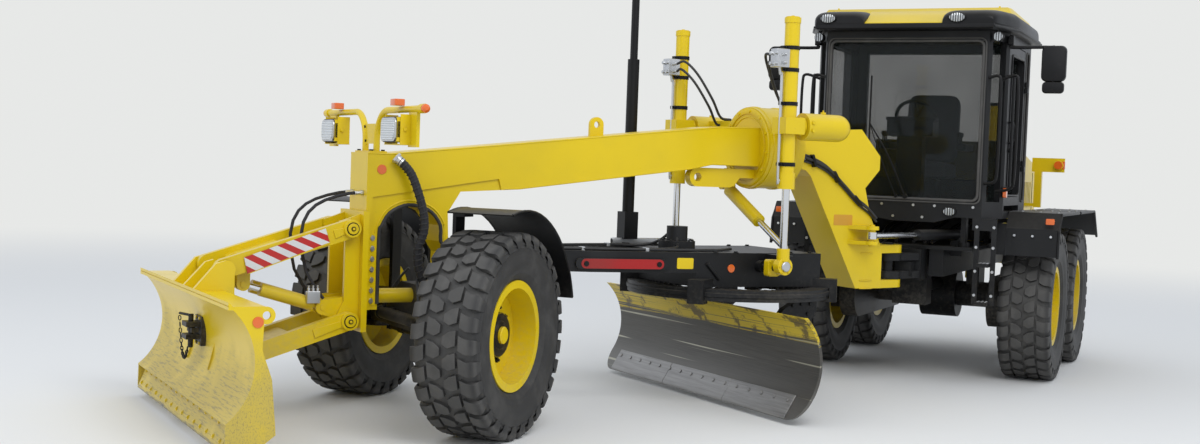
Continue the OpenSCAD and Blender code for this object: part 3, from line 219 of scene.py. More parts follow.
def painted(name, color, faded, gloss, dust, mud, shine=0.4):
    """Paint of one colour with its faded tone, a gloss, and how much dust and mud lie on it."""
    f = Finish(name, color, Specular_IOR_Level=shine)
    patches = f.noise(1.7, 4)
    grain = f.noise(34, 4, 0.6)
    specks = f.noise(210, 2)
    tone = f.mix(f.rise(patches, 0.4, 0.75), color, faded)
    lying = f.rise(f.facing("Z"), 0.3, 0.95) * (patches + grain) * dust
    splashed = f.rise(f.axis("Z"), 1.15, 0.15) * f.rise(grain + patches, 0.82, 1.35) * mud
    dirt = f.sum("MINIMUM", lying + splashed, 0.85)
    spotted = f.rise(specks * 0.6 + grain * 0.4, 0.63, 0.7) * 0.3
    return f.set(Base_Color=f.mix(spotted, f.mix(dirt, tone, dust_color), (0.15, 0.13, 0.10)),
                 Roughness=dirt * 0.5 + grain * 0.12 + gloss,
                 Normal=f.bump(f.noise(110, 2) * 0.5 + dirt * 0.5, 0.0006, 0.5))


yellow = painted("yellow_enamel", (0.72, 0.52, 0.003), (0.65, 0.475, 0.008),
                 gloss=0.24, dust=0.12, mud=0.32)
dress(yellow, "goose_neck", "front_frame", "saddle", "engine_hood", "rear_bumper", "lamp_frame",
      "lift_barrel_left", "lift_barrel_right", "shift_barrel", "dozer_arms", "dozer_links",
      "dozer_barrels")
for name in frame["nodes"]:
    if name.startswith("rim_"):
        dress(yellow, name)

# Charcoal and black paintwork: satin enamel on the rear frame, cab, drawbar and circle, and
# black on the knuckles, mast, mirrors, console and engine.
charcoal = painted("charcoal_enamel", (0.0095, 0.0098, 0.0105), (0.018, 0.0185, 0.0195),
                   gloss=0.36, dust=0.09, mud=0.4, shine=0.24)
dress(charcoal, "rear_frame", "tandem_axle", "cab_base", "cab_shell", "mudguards", "steps",
      "fuel_tank", "cab_door", "front_axle", "drawbar", "circle_ring", "blade_carrier",
      "artic_barrel_left", "artic_barrel_right")
black = painted("black_enamel", (0.004, 0.004, 0.0045), (0.008, 0.008, 0.0088),
                gloss=0.33, dust=0.07, mud=0.4, shine=0.24)
dress(black, "knuckle_left", "knuckle_right", "tie_rod", "sensor_mast", "mirrors", "console",
      "engine_block", "cab_roof", "cab_mounts")

# Rods of the cylinders and the shell of the drawbar's ball: ground steel with hard chrome,
# polished bright so that seals and bearings slide on it.
chrome = Finish("hard_chrome", (0.72, 0.73, 0.75), Metallic=1.0)
chrome.set(Roughness=chrome.noise(60, 3) * 0.14 + 0.08)
dress(chrome.material, "lift_rod_left", "lift_rod_right", "shift_rod", "artic_rod_left",
      "artic_rod_right", "dozer_rods", "ball_seat")

# Cab panes: tinted safety glass, set into the cab's shell and its door behind rubber seals,
# with a thin film of dust.
pane = Finish("tinted_pane", (0.010, 0.013, 0.012), Roughness=0.02, Specular_IOR_Level=0.3)
pane.set(Alpha=pane.rise(pane.noise(2.0, 4), 0.3, 0.9) * 0.08 + 0.38)
dress(pane.material, "cab_glass", "door_glass")


# Tyres: black rubber radials, 1.32 m high and 0.445 m wide. A smooth carcass with a ribbed
# shoulder carries two rows of pointed middle blocks, half a pitch apart, and a row of
# long lugs rounded over each shoulder. Dried mud greys the grooves.
def loft(rings):
    """Rings of equally many points, shape (rings, points, 3), skinned into a shell with flat ends."""
    count, around = rings.shape[:2]
    row = np.arange(count - 1)[:, None] * around
    at = np.arange(around)[None, :]
    following = (at + 1) % around
    sides = np.stack([row + at, row + following, row + around + following, row + around + at], -1)
    ends = [list(range(around)), list(range((count - 1) * around, count * around))]
    return rings.reshape(-1, 3), sides.reshape(-1, 4).tolist() + ends


def turned(profile, steps=48, hollow=False):
    """A profile of (radius, along) pairs spun round y: x = r sin a, y = along, z = -r cos a.
    A hollow one closes on itself, as a ring's section does."""
    r, along = np.array(profile, float).T[:, :, None]
    a = np.linspace(0, 2 * math.pi, steps, endpoint=False)[None, :]
    rings = np.stack([r * np.sin(a), along + 0 * a, -r * np.cos(a)], -1)
    if not hollow:
        return loft(rings)
    points, faces = loft(np.concatenate([rings, rings[:1]]))
    count = rings.shape[0] * steps
    return points[:count], [[v % count for v in face] for face in faces[:-2]]


def joined(name, parts, place, material, body, rounding=0.0, mark=None, sharp=35):
    """One piece from closed shells (points, faces), put in place and set to ride on its body.
    rounding bevels its edges; mark is a number for each point that its finish may read."""
    points = []
    faces = []
    count = 0
    for shell, sides in parts:
        points.append(np.asarray(shell, float).reshape(-1, 3))
        faces += [[v + count for v in side] for side in sides]
        count += len(points[-1])
    points = np.concatenate(points)
    mesh = bpy.data.meshes.new(name)
    mesh.from_pydata(place(points).tolist(), [], faces)
    if mark is not None:
        mesh.attributes.new("mark", "FLOAT", "POINT").data.foreach_set("value", mark(points))
    outward = bmesh.new()
    outward.from_mesh(mesh)
    bmesh.ops.recalc_face_normals(outward, faces=outward.faces)
    outward.to_mesh(mesh)
    outward.free()
    mesh.materials.append(material)
    mesh.shade_smooth()
    mesh.set_sharp_from_angle(angle=math.radians(sharp))
    piece = bpy.data.objects.new(name, mesh)
    bpy.context.scene.collection.objects.link(piece)
    if rounding:
        edges = piece.modifiers.new("rounded_edges", "BEVEL")
        edges.width = rounding
        edges.segments = 2
        edges.limit_method = "ANGLE"
        edges.angle_limit = math.radians(50)
    if body:
        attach(piece, body)
    return piece


def at_wheel(name, side):
    """Turns points of a wheel, x round the tread, y outwards and z up, into the row frame."""
    centre = np.array(joint[name]["pos_m"])
    out = side * np.array(joint[name]["axis"])
    along = np.cross(out, (0, 0, 1))
    return lambda p: centre + p[:, :1] * along + p[:, 1:2] * out + p[:, 2:] * np.array((0, 0, 1))


tread_r = 0.66
groove_r = 0.634
pitches = 30


def lugs(stations, phase):
    """A row of lugs round the wheel, one each pitch. A station is (across, top radius, back
    edge, front edge): a ring of five corners at angle phase + length / tread radius."""
    across, top, back, front_edge = np.array(stations, float).T
    length = np.stack([back, back, (back + front_edge) / 2, front_edge, front_edge], -1)
    foot = top - 0.035
    radius = np.stack([foot, top, top, top, foot], -1)
    shells = []
    for turn in (np.arange(pitches) + phase) * 2 * math.pi / pitches:
        a = turn + length / tread_r
        rings = [radius * np.sin(a), across[:, None] + 0 * a, -radius * np.cos(a)]
        shells.append(loft(np.stack(rings, -1)))
    return shells


half_wall = [(0.322, 0.158), (0.350, 0.163), (0.360, 0.168), (0.372, 0.182), (0.400, 0.198),
             (0.404, 0.202), (0.408, 0.201), (0.440, 0.212), (0.480, 0.2195), (0.520, 0.2205),
             (0.556, 0.2165), (0.560, 0.2195), (0.566, 0.2195), (0.570, 0.2145), (0.580, 0.2120),
             (0.584, 0.2145), (0.590, 0.2135), (0.594, 0.2080), (0.612, 0.196), (0.626, 0.178),
             (0.632, 0.155), (groove_r, 0.12)]
carcass = [(r, -y) for r, y in half_wall] + half_wall[::-1]
shoulder = [(0.116, 0.6590, -0.030, 0.062), (0.160, 0.6590, -0.052, 0.044),
            (0.200, 0.6555, -0.054, 0.040), (0.213, 0.645, -0.052, 0.038),
            (0.2195, 0.625, -0.047, 0.034), (0.2215, 0.596, -0.038, 0.026)]
middle = [(0.008, 0.6590, -0.034, 0.014), (0.048, 0.6590, -0.056, 0.044),
          (0.098, 0.6590, -0.036, 0.058)]
tread = []
for side, shift in ((1, 0.5), (-1, 0.0)):
    for row, offset in ((shoulder, 0.0), (middle, 0.25)):
        mirrored = [(side * across, *rest) for across, *rest in row]
        tread += lugs(mirrored, shift + offset)
rubber = Finish("tyre_rubber")
radius_mark = rubber.node("ShaderNodeAttribute", "Fac", {"attribute_name": "mark"})
muddy = rubber.noise(7, 5, 0.6)
caked = rubber.rise(radius_mark, 0.655, 0.636) * rubber.rise(radius_mark, 0.60, 0.628) * 0.25
dusty = rubber.rise(muddy, 0.42, 0.7) * 0.22 + 0.12
scrubbed = rubber.rise(radius_mark, 0.655, 0.659) * 0.28
worn = caked + dusty + scrubbed
rubber.set(Base_Color=rubber.mix(worn, (0.011, 0.011, 0.0115), (0.125, 0.12, 0.112)),
           Roughness=dusty * 0.3 + 0.62,
           Normal=rubber.bump(rubber.noise(160, 3), 0.0008, 0.5))
wheels = [(place + side_name + number, side)
          for place, number in (("front_", ""), ("rear_", "_1"), ("rear_", "_2"))
          for side_name, side in (("left", 1), ("right", -1))]
for wheel, side in wheels:
    piece = joined("tread_" + wheel, [turned(carcass, 120, hollow=True)] + tread,
                   at_wheel("roll_" + wheel, side), rubber.material, "wheel_" + wheel,
                   rounding=0.003, mark=lambda p: np.hypot(p[:, 0], p[:, 2]), sharp=50)
    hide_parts("tyre_" + wheel)


# Hubs: a black cast hub cover with a yellow stub in the middle of each rim, and ten wheel
# nuts on the recessed disc.
def prism(sides, radius, centre, low, high):
    """An upright with so many sides, its ends at low and high along y."""
    a = np.arange(sides) * 2 * math.pi / sides
    flat = np.stack([centre[0] + radius * np.cos(a), 0 * a, centre[1] + radius * np.sin(a)], -1)
    return loft(np.stack([flat + (0, low, 0), flat + (0, high, 0)]))


hub_cover = turned([(0.001, 0.0105), (0.152, 0.0105), (0.152, 0.020), (0.1435, 0.028),
                    (0.1435, 0.066), (0.136, 0.073), (0.092, 0.0745), (0.088, 0.081),
                    (0.001, 0.081)])
stub = turned([(0.001, 0.0805), (0.055, 0.0805), (0.055, 0.098), (0.048, 0.104), (0.001, 0.104)])
nut_circle = 0.178
nuts = []
for a in np.arange(10) * 2 * math.pi / 10:
    spot = (nut_circle * math.cos(a), nut_circle * math.sin(a))
    nuts += [prism(6, 0.018, spot, 0.009, 0.034), prism(16, 0.009, spot, 0.03, 0.046)]
for wheel, side in wheels:
    place = at_wheel("roll_" + wheel, side)
    body_name = "wheel_" + wheel
    joined("hub_" + wheel, [hub_cover] + nuts, place, black, body_name, 0.0015)
    joined("stub_" + wheel, [stub], place, yellow, body_name, 0.002)


# Driver's seat: two foam pads under woven cloth, each crowned towards its middle with a
# stitched seam round its edge, on a black pedestal.
def squared(wave):
    """A sine or cosine pushed out towards a square wave by the power 0.28."""
    return np.sign(wave) * np.abs(wave) ** 0.28


def cushion(size, crown, steps=28):
    """A pad as a rounded box: a point of the unit ball (u, v) is pushed out to the box's sides,
    and its upper face swells by crown times the cosine of the place on it."""
    u = np.linspace(-math.pi / 2, math.pi / 2, steps)[:, None]
    v = np.linspace(0, 2 * math.pi, 2 * steps, endpoint=False)[None, :]
    x = squared(np.cos(u)) * squared(np.cos(v)) * size[0] / 2
    y = squared(np.cos(u)) * squared(np.sin(v)) * size[1] / 2
    z = squared(np.sin(u)) * size[2] / 2 + 0 * v
    swell = np.cos(math.pi * x / size[0]) * np.cos(math.pi * y / size[1])
    pinch = 1 - 0.06 * np.exp(-((z / size[2]) / 0.06) ** 2)
    return loft(np.stack([x * pinch, y * pinch, z + crown * swell * (z > 0)], -1))


def tilted(shell, about_y, centre):
    """A shell turned about the y axis, then moved."""
    points, faces = shell
    c, s = math.cos(about_y), math.sin(about_y)
    turn = np.array([(c, 0, s), (0, 1, 0), (-s, 0, c)])
    return points @ turn.T + centre, faces


def slab(corner, opposite):
    """A box between two opposite corners, given in either order."""
    x, y, z = np.sort([corner, opposite], axis=0).T
    ring = [(x[0], y[0]), (x[1], y[0]), (x[1], y[1]), (x[0], y[1])]
    return loft(np.array([[(a, b, c) for a, b in ring] for c in z]))


def as_is(points):
    """Points that are in the row frame already."""
    return points


cloth = Finish("seat_cloth", (0.05, 0.05, 0.055), Roughness=0.9)
weave = cloth.noise(420, 1, 0.5, cloth.drawn(1, 1, 0.4))
cloth.set(Base_Color=cloth.mix(weave, (0.03, 0.03, 0.033), (0.075, 0.075, 0.08)),
          Normal=cloth.bump(weave, 0.0008, 0.7))
seat_low, seat_high = (np.array(c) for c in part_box("seat"))
seat_foot = np.array([*(seat_low + seat_high)[:2] / 2, seat_low[2]])
sitting = cushion((0.50, 0.49, 0.14), 0.02)
backrest = cushion((0.62, 0.47, 0.13), 0.02)
pads = [("seat_cushion", tilted(sitting, 0, seat_foot + (0.03, 0, 0.33))),
        ("seat_backrest", tilted(backrest, math.radians(82), seat_foot + (-0.225, 0, 0.72)))]
for name, shell in pads:
    pad = joined(name, [shell], as_is, cloth.material, "rear_frame", sharp=60)
    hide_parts("seat")
blocks = [slab(seat_foot + (-0.14, -0.15, 0.0), seat_foot + (0.14, 0.15, 0.03)),
          slab(seat_foot + (-0.11, -0.12, 0.03), seat_foot + (0.11, 0.12, 0.25))]
pedestal = joined("seat_pedestal", blocks, as_is, black, "rear_frame", 0.01)
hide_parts("seat")

# Blade faces: rolled steel plate in yellow enamel. Gravel has scoured the grading blade to
# level stripes of bare steel under a yellow band, and only scuffed the dozer blade.
front_turn = math.atan2(-across[0], across[1])
scoured = Finish("scoured_blade")
stripes = scoured.noise(1, 6, 0.7, scoured.drawn(70, 0.55, 70, front_turn))
scratches = scoured.noise(1, 5, 0.7, scoured.drawn(260, 3, 260, front_turn))
height = scoured.axis("Z")
bare = scoured.rise(scoured.rise(height, 0.74, 0.40) + (stripes - 0.5) * 1.3, 0.36, 0.46)
steel_tone = scoured.mix(scratches, (0.025, 0.0235, 0.021), (0.17, 0.162, 0.148))
polished = scoured.rise(height, 0.34, 0.12)
steel_tone = scoured.mix(polished * 0.6, steel_tone, (0.22, 0.215, 0.20))
paint_tone = scoured.mix(scoured.rise(stripes, 0.52, 0.62), (0.60, 0.44, 0.01), (0.10, 0.085, 0.05))
rust = scoured.rise(scoured.noise(5.0, 5, 0.7), 0.52, 0.60)
paint_tone = scoured.mix(rust * 0.8, paint_tone, (0.045, 0.028, 0.016))
streaks = scoured.rise(scoured.noise(1, 2, 0.5, scoured.drawn(30, 0.35, 30, front_turn)), 0.63, 0.68)
steel_tone = scoured.mix(streaks * 0.7, steel_tone, (0.55, 0.53, 0.42))
scoured.set(Base_Color=scoured.mix(bare, paint_tone, steel_tone), Metallic=bare * 0.8,
            Roughness=scratches * 0.3 + 0.24, Normal=scoured.bump(scratches + bare * -0.5, 0.0008, 0.6))
dress(scoured.material, "grading_blade")
scuffed = Finish("scuffed_blade")
brushed = scuffed.noise(1, 6, 0.75, scuffed.drawn(120, 6, 70, front_turn))
cloud = scuffed.noise(2.1, 4, 0.55)
height = scuffed.axis("Z")
haze = scuffed.rise(cloud + scuffed.rise(height, 0.80, 0.25) * 0.35, 0.55, 0.92)
lines = scuffed.rise(brushed, 0.50, 0.62) * haze
bared = scuffed.rise(scuffed.rise(height, 0.15, 0.03) + brushed * 0.9, 0.98, 1.3)
tone = scuffed.mix(haze * 0.6, (0.72, 0.52, 0.004), (0.40, 0.32, 0.11))
tone = scuffed.mix(lines * 0.65, tone, (0.19, 0.155, 0.085))
scuffed.set(Base_Color=scuffed.mix(bared, tone, (0.16, 0.15, 0.13)), Metallic=bared * 0.7,
            Roughness=haze * 0.2 + 0.28, Normal=scuffed.bump(brushed, 0.0007, 0.5))
dress(scuffed.material, "dozer_blade")


# Work lamps: two rounded aluminium lamps with ribbed glass in black housings over the nose
# of the beam, and an orange indicator on the end of each bent tube.
def rounded(corner, opposite, radius, facing=0, bulge=0.0, steps=6):
    """A box whose four edges along one axis are rounded: quarter circles of the radius at the
    corners of each ring. bulge swells the rings' middle, as on a moulded cover."""
    low, high = np.sort([corner, opposite], axis=0)
    u, v = [i for i in range(3) if i != facing]
    turn = np.linspace(0, math.pi / 2, steps)
    corners = [(high[u], high[v], 0), (low[u], high[v], 1), (low[u], low[v], 2), (high[u], low[v], 3)]
    ring = [(cu - math.copysign(radius, (1, -1, -1, 1)[q]) + radius * math.cos(a + q * math.pi / 2),
             cv - math.copysign(radius, (1, 1, -1, -1)[q]) + radius * math.sin(a + q * math.pi / 2))
            for cu, cv, q in corners for a in turn]
    ring = np.array(ring)
    middle = (ring.min(0) + ring.max(0)) / 2
    rings = []
    for along, grow in ((0, -0.004), (0.03, 0), (0.5, bulge), (0.97, 0), (1, -0.004)):
        points = np.zeros((len(ring), 3))
        spread = 1 + grow / (ring.max(0) - middle)
        points[:, [u, v]] = middle + (ring - middle) * spread
        points[:, facing] = low[facing] + along * (high[facing] - low[facing])
        rings.append(points)
    return loft(np.array(rings))


def pipe(points, radius, steps=6, sides=12):
    """A tube along a smooth curve: p(t) is the Catmull-Rom spline through the points, with a
    ring of the given sides square to it at every step."""
    knots = np.array(points, float)
    if steps > 1:
        ends = np.vstack([2 * knots[0] - knots[1], knots, 2 * knots[-1] - knots[-2]])
        t = np.linspace(0, 1, steps, endpoint=False)[:, None]
        spans = [0.5 * (2 * b + (c - a) * t + (2 * a - 5 * b + 4 * c - d) * t ** 2
                        + (3 * b - a - 3 * c + d) * t ** 3)
                 for a, b, c, d in zip(ends, ends[1:], ends[2:], ends[3:])]
        knots = np.vstack(spans + [knots[-1:]])
    way = np.gradient(knots, axis=0)
    way /= np.linalg.norm(way, axis=1)[:, None]
    across_way = np.cross(way, (0.31, 0.27, 0.91) if abs(way[0][2]) < 0.9 else (0.95, 0.3, 0.05))
    across_way /= np.linalg.norm(across_way, axis=1)[:, None]
    third = np.cross(way, across_way)
    a = np.arange(sides)[None, :, None] * 2 * math.pi / sides
    radii = np.broadcast_to(radius, len(knots))[:, None, None]
    rings = radii * (np.cos(a) * across_way[:, None] + np.sin(a) * third[:, None])
    return loft(knots[:, None] + rings)


def rod(start, end, radius, sides=16):
    """A round bar between two points; six sides make a nut."""
    return pipe([start, end], radius, 1, sides)


silver = Finish("cast_aluminium", (0.55, 0.56, 0.57), Metallic=0.9)
silver.set(Roughness=silver.noise(40, 3) * 0.2 + 0.25)
# Lamp glass: the bright and dark bands along its ribs are painted glints, set in the base colour over
# the ribs' real bump.
lens = Finish("lamp_glass", (0.62, 0.66, 0.68), Roughness=0.12, Metallic=0.35)
ribs_and_glints = lens.node("ShaderNodeTexWave", "Fac", {"wave_type": "BANDS", "bands_direction": "Z"},
                 {"Vector": lens.place, "Scale": 28.0, "Distortion": 0.0})
lens.set(Base_Color=lens.mix(ribs_and_glints, (0.35, 0.38, 0.40), (0.85, 0.88, 0.9)),
         Normal=lens.bump(ribs_and_glints, 0.003))
# Dark lamp glass for the cab lamps: its grey bands are painted glints in the base colour, over the ribs'
# real bump.
dark_lens = Finish("dark_lamp_glass", (0.3, 0.3, 0.3), Roughness=0.1, Metallic=0.5)
ribs_and_glints = dark_lens.node("ShaderNodeTexWave", "Fac", {"wave_type": "BANDS", "bands_direction": "Y"},
                      {"Vector": dark_lens.drawn(1, 1, 1, 0.5), "Scale": 18.0, "Distortion": 0.0})
dark_lens.set(Base_Color=dark_lens.mix(ribs_and_glints, (0.03, 0.032, 0.034), (0.5, 0.52, 0.53)),
              Normal=dark_lens.bump(ribs_and_glints, 0.003))
orange = Finish("orange_lens", (0.72, 0.13, 0.01), Roughness=0.2, Coat_Weight=0.6)
red_lens = Finish("red_lens", (0.5, 0.01, 0.01), Roughness=0.2, Coat_Weight=0.6)
lamp_x = 4.621
tube_x = 4.52
housings = []
glasses = []
stirrup = []
rims_of_lamps = []
indicators = []
for side in (1, -1):
    y0, y1 = sorted((side * 0.486, side * 0.744))
    housings.append(rounded((4.545, y0 - 0.006, 1.858), (lamp_x, y1 + 0.006, 2.019), 0.03))
    housings.append(rounded((4.50, y0 + 0.03, 1.885), (4.55, y1 - 0.03, 1.99), 0.025))
    rims_of_lamps.append(rounded((lamp_x - 0.012, y0, 1.864), (lamp_x + 0.010, y1, 2.013), 0.035))
    glasses.append(rounded((lamp_x + 0.004, y0 + 0.014, 1.877),
                           (lamp_x + 0.016, y1 - 0.014, 2.0), 0.03, bulge=0.002))
    for y in (side * 0.752, side * 0.476):
        stirrup.append(slab((4.512, y, 1.845), (4.600, y + side * 0.006, 2.035)))
        stirrup.append(rod((4.57, y - 0.012, 1.94), (4.57, y + 0.018, 1.94), 0.012, 6))
    stirrup.append(slab((4.512, y0 - 0.016, 1.842), (4.60, y1 + 0.016, 1.848)))
    tube_end = side * 0.96
    indicators.append(pipe([(tube_x, tube_end + side * out, 2.07) for out in (-0.004, 0.02, 0.034)],
                           [0.028, 0.027, 0.012], 1, 24))
    indicators.append(rounded((4.53, side * 0.60 - 0.05, 2.092),
                              (4.60, side * 0.60 + 0.05, 2.135), 0.015, 2))
joined("lamp_stirrups", stirrup, front, yellow, "front_frame", 0.001)
joined("lamp_housings", housings, front, black, "front_frame", 0.001)
joined("lamp_reflectors", rims_of_lamps, front, silver.material, "front_frame")
joined("lamp_lenses", glasses, front, lens.material, "front_frame")
joined("indicator_lenses", indicators, front, orange.material, "front_frame", 0.002)
plate_bolts = [rod((4.525, side * y, z), (4.534, side * y, z), 0.011, 6)
               for side in (1, -1) for y, z in ((0.095, 1.87), (0.115, 1.965))]
plate_bolts += [rod((tube_x + dx, side * 0.125, 1.801), (tube_x + dx, side * 0.125, 1.812), 0.013, 6)
                for side in (1, -1) for dx in (-0.04, 0.04)]
joined("lamp_bracket_bolts", plate_bolts, front, black, "front_frame")

# Nose of the beam: the rubber lining and the pressed ring round the arch over the axle, a
# strip with seven silver bolts beside it and an orange reflector above, on both sides.
arch = [(4.004, 0.78), (4.004, 1.12), (4.055, 1.20), (4.062, 1.31), (4.13, 1.40), (4.23, 1.441),
        (4.33, 1.441), (4.43, 1.39), (4.485, 1.30), (4.501, 1.24), (4.501, 0.78)]
arch_middle = np.array((4.27, 1.22))
arch_ring = [tuple(arch_middle + (np.array(p) - arch_middle) * 1.13) for p in arch[1:-1]]
strip_x = 4.552
lining = []
ring_plate = []
head_bolts = []
for side in (1, -1):
    lining.append(pipe([(x, side * 0.157, z) for x, z in arch], 0.013, 3, 10))
    ring_plate.append(pipe([(x, side * 0.156, z) for x, z in arch_ring], 0.007, 3, 10))
    ring_plate.append(slab((strip_x - 0.03, side * 0.153, 0.77), (strip_x + 0.03, side * 0.163, 1.25)))
    for z in 0.80 + np.arange(7) * 0.07:
        for outer, radius, sides in ((0.178, 0.0145, 6), (0.166, 0.020, 20)):
            head_bolts.append(rod((strip_x, side * 0.160, z), (strip_x, side * outer, z), radius, sides))
joined("arch_lining", lining, front, rubber.material, "front_frame")
joined("arch_ring", ring_plate, front, yellow, "front_frame")
joined("head_bolts", head_bolts, front, silver.material, "front_frame")
eye_reflectors = [rod((4.50, side * 0.169, 1.68), (4.50, side * 0.176, 1.68), 0.032, 32)
                  for side in (1, -1)]
joined("beam_reflectors", eye_reflectors, front, orange.material, "front_frame", 0.001)

# Welds and flange edges of the beam: fillet beads along the hinge plates and round the beam
# where it meets the drum, and the thin edges where the top and bottom plates stand proud of
# the side plates.
drum_z = 1.945
bead_r = 0.238
top_edge = [(1.46, 2.098), (1.82, 2.09), (3.64, 1.88), (4.44, 1.79), (4.60, 1.79)]
low_edge = [(1.46, 1.7985), (1.88, 1.797), (2.08, 1.755), (3.48, 1.572), (3.60, 1.5655)]
edges = []
for side in (1, -1):
    for line, inset in ((top_edge, -0.006), (low_edge, 0.006)):
        knots = [(x, side * 0.1695, z + inset) for x, z in line]
        edges.append(pipe(knots, 0.0045, 1, 8))
    for z in (0.85, 0.915, 1.135, 1.20):
        bead = [(0.22, side * 0.1, z), (0.30, side * 0.172, z), (0.42, side * 0.172, z)]
        edges.append(pipe(bead, 0.005, 2, 8))
bead = [(1.452, bead_r * math.sin(a), drum_z + bead_r * math.cos(a))
        for a in np.linspace(0, 2 * math.pi, 33)]
edges.append(pipe(bead, 0.006, 1, 8))
joined("beam_welds", edges, front, yellow, "front_frame")


# Saddle: a pressed ring on the drum's front face, bolted all round but where the side-shift
# cylinder passes, two raised bands round the drum, and a greased cap over each swivel.
def hoop(profile, centre, axis, steps=40):
    """A closed profile of (radius, along) pairs spun round a line through the centre, along
    axis 0 for x or 2 for z."""
    points, faces = turned(profile, steps, hollow=True)
    return points[:, (1, 0, 2) if axis == 0 else (0, 2, 1)] + centre, faces


face_ring = [(0.262, 1.448), (0.306, 1.448), (0.306, 1.459), (0.300, 1.463), (0.268, 1.463),
             (0.262, 1.459)]
saddle_rings = [hoop(face_ring, (0, 0, drum_z), 0, 64)]
for x in (1.20, 1.40):
    band = [(0.313, x - 0.02), (0.322, x - 0.015), (0.322, x + 0.015), (0.313, x + 0.02)]
    saddle_rings.append(hoop(band, (0, 0, drum_z), 0, 64))
bolt_circle = 0.285
shift_cylinder_top = 1.70
drum_bolts = []
for a in np.arange(12) * 2 * math.pi / 12 + 0.13:
    y = bolt_circle * math.sin(a)
    z = drum_z + bolt_circle * math.cos(a)
    if z > shift_cylinder_top:
        drum_bolts.append(rod((1.462, y, z), (1.474, y, z), 0.012, 6))
swivel_x = 1.30
lift_y = 0.75
swivel_caps = []
for side in (1, -1):
    y = side * lift_y
    swivel_caps.append(rod((swivel_x, y, 2.199), (swivel_x, y, 2.213), 0.02, 20))
    swivel_caps.append(rod((swivel_x, y, 2.2), (swivel_x, y, 2.228), 0.006, 10))
    for z in (2.07, 2.13):
        drum_bolts.append(rod((1.46, side * 0.846, z), (1.46, side * 0.86, z), 0.014, 6))
saddle_bolts = drum_bolts + swivel_caps
joined("saddle_rings", saddle_rings, front, yellow, "front_frame", 0.0015)
joined("saddle_bolts", saddle_bolts, front, yellow, "front_frame")

# Lift cylinders: clamp bands, an aluminium lock-valve block with its fittings, the hard line
# down the barrel, a bolted cap, and two hoses from the valve block down to the saddle, fixed in place.
hose_rubber = Finish("hose_cover", (0.014, 0.014, 0.015), Roughness=0.5)
braid = hose_rubber.noise(300, 2)
hose_rubber.set(Base_Color=hose_rubber.mix(braid, (0.010, 0.010, 0.011), (0.03, 0.03, 0.031)),
                Normal=hose_rubber.bump(braid, 0.0006))
lift_x = 1.61
valve_x = 1.71
clamp = [(0.0545, -0.014), (0.0605, -0.014), (0.0605, 0.014), (0.0545, 0.014)]
for name, side in (("left", 1), ("right", -1)):
    y = side * lift_y
    body_name = "lift_barrel_" + name
    bands = []
    for z in (2.505, 2.665, 1.82, 2.26):
        bands.append(hoop(clamp, (lift_x, y, z), 2))
        bands.append(slab((1.663, y - 0.022, z - 0.012), (1.694, y + 0.022, z + 0.012)))
        bands.append(rod((1.68, y - 0.03, z), (1.68, y + 0.03, z), 0.006, 6))
    block = [rounded((1.656, y - 0.048, 2.518), (1.762, y + 0.048, 2.652), 0.006)]
    for z in (2.545, 2.62):
        for dy in (-0.028, 0.028):
            block.append(rod((1.760, y + dy, z), (1.780, y + dy, z), 0.014, 6))
    for z in (2.55, 2.61):
        for end in (1, -1):
            block.append(rod((valve_x, y + end * 0.046, z), (valve_x, y + end * 0.072, z), 0.014, 6))
            block.append(rod((valve_x, y + end * 0.07, z), (valve_x, y + end * 0.092, z), 0.010, 12))
    line = pipe([(valve_x, y, 2.52), (1.70, y, 2.47), (1.687, y, 2.42), (1.687, y, 1.74),
                 (1.676, y, 1.705), (1.66, y, 1.70)], 0.0112, 5, 12)
    caps = [rod((lift_x, y, 2.884), (lift_x, y, 2.892), 0.05, 32),
            rod((lift_x, y, 2.89), (lift_x, y, 2.9), 0.014, 6)]
    joined("lift_clamps_" + name, bands, front, black, body_name)
    joined("lift_valve_" + name, block + [line], front, silver.material, body_name, 0.001)
    joined("lift_cap_" + name, caps, front, yellow, body_name, 0.002)
    hoses = []
    for z, spread in ((2.55, 0.0), (2.61, 0.045)):
        route = [(valve_x, 0.09, z), (1.70, 0.15 + spread, z + 0.01),
                 (1.62, 0.22 + spread, z - 0.09), (1.50, 0.26 + spread, z - 0.28),
                 (1.40, 0.24 + spread, z - 0.42), (1.31, 0.26 + spread, 2.172)]
        hoses.append(pipe([(x, y - side * inward, up) for x, inward, up in route], 0.0105, 8, 10))
    flexible = joined("lift_hoses_" + name, hoses, front, hose_rubber.material, None)
    at_saddle = front([[1.36, y - side * 0.25, 2.2]])[0]
    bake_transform(flexible)


# Hazard panel on the left dozer link: slanted stripes of red and white film, stuck onto the
# link's side and cut off square at both ends.
def cut_at(ring, limit, keep):
    """A ring of (along, up) points cut off at a line across. keep is 1 for what lies past the
    line, -1 for what lies before it."""
    kept = []
    for here, there in zip(ring, ring[1:] + ring[:1]):
        if keep * (here[0] - limit) >= 0:
            kept.append(here)
        if (here[0] - limit) * (there[0] - limit) < 0:
            share = (limit - here[0]) / (there[0] - here[0])
            kept.append((limit, here[1] + share * (there[1] - here[1])))
    return kept


panel_foot = np.array([(4.872, 1.196), (5.404, 0.993)])
panel_top = np.array([(4.902, 1.286), (5.428, 1.096)])


def on_panel(along, up):
    """The (x, z) place of two shares from 0 to 1: the panel's four corners blended."""
    foot = panel_foot[0] * (1 - along) + panel_foot[1] * along
    top = panel_top[0] * (1 - along) + panel_top[1] * along
    return foot * (1 - up) + top * up


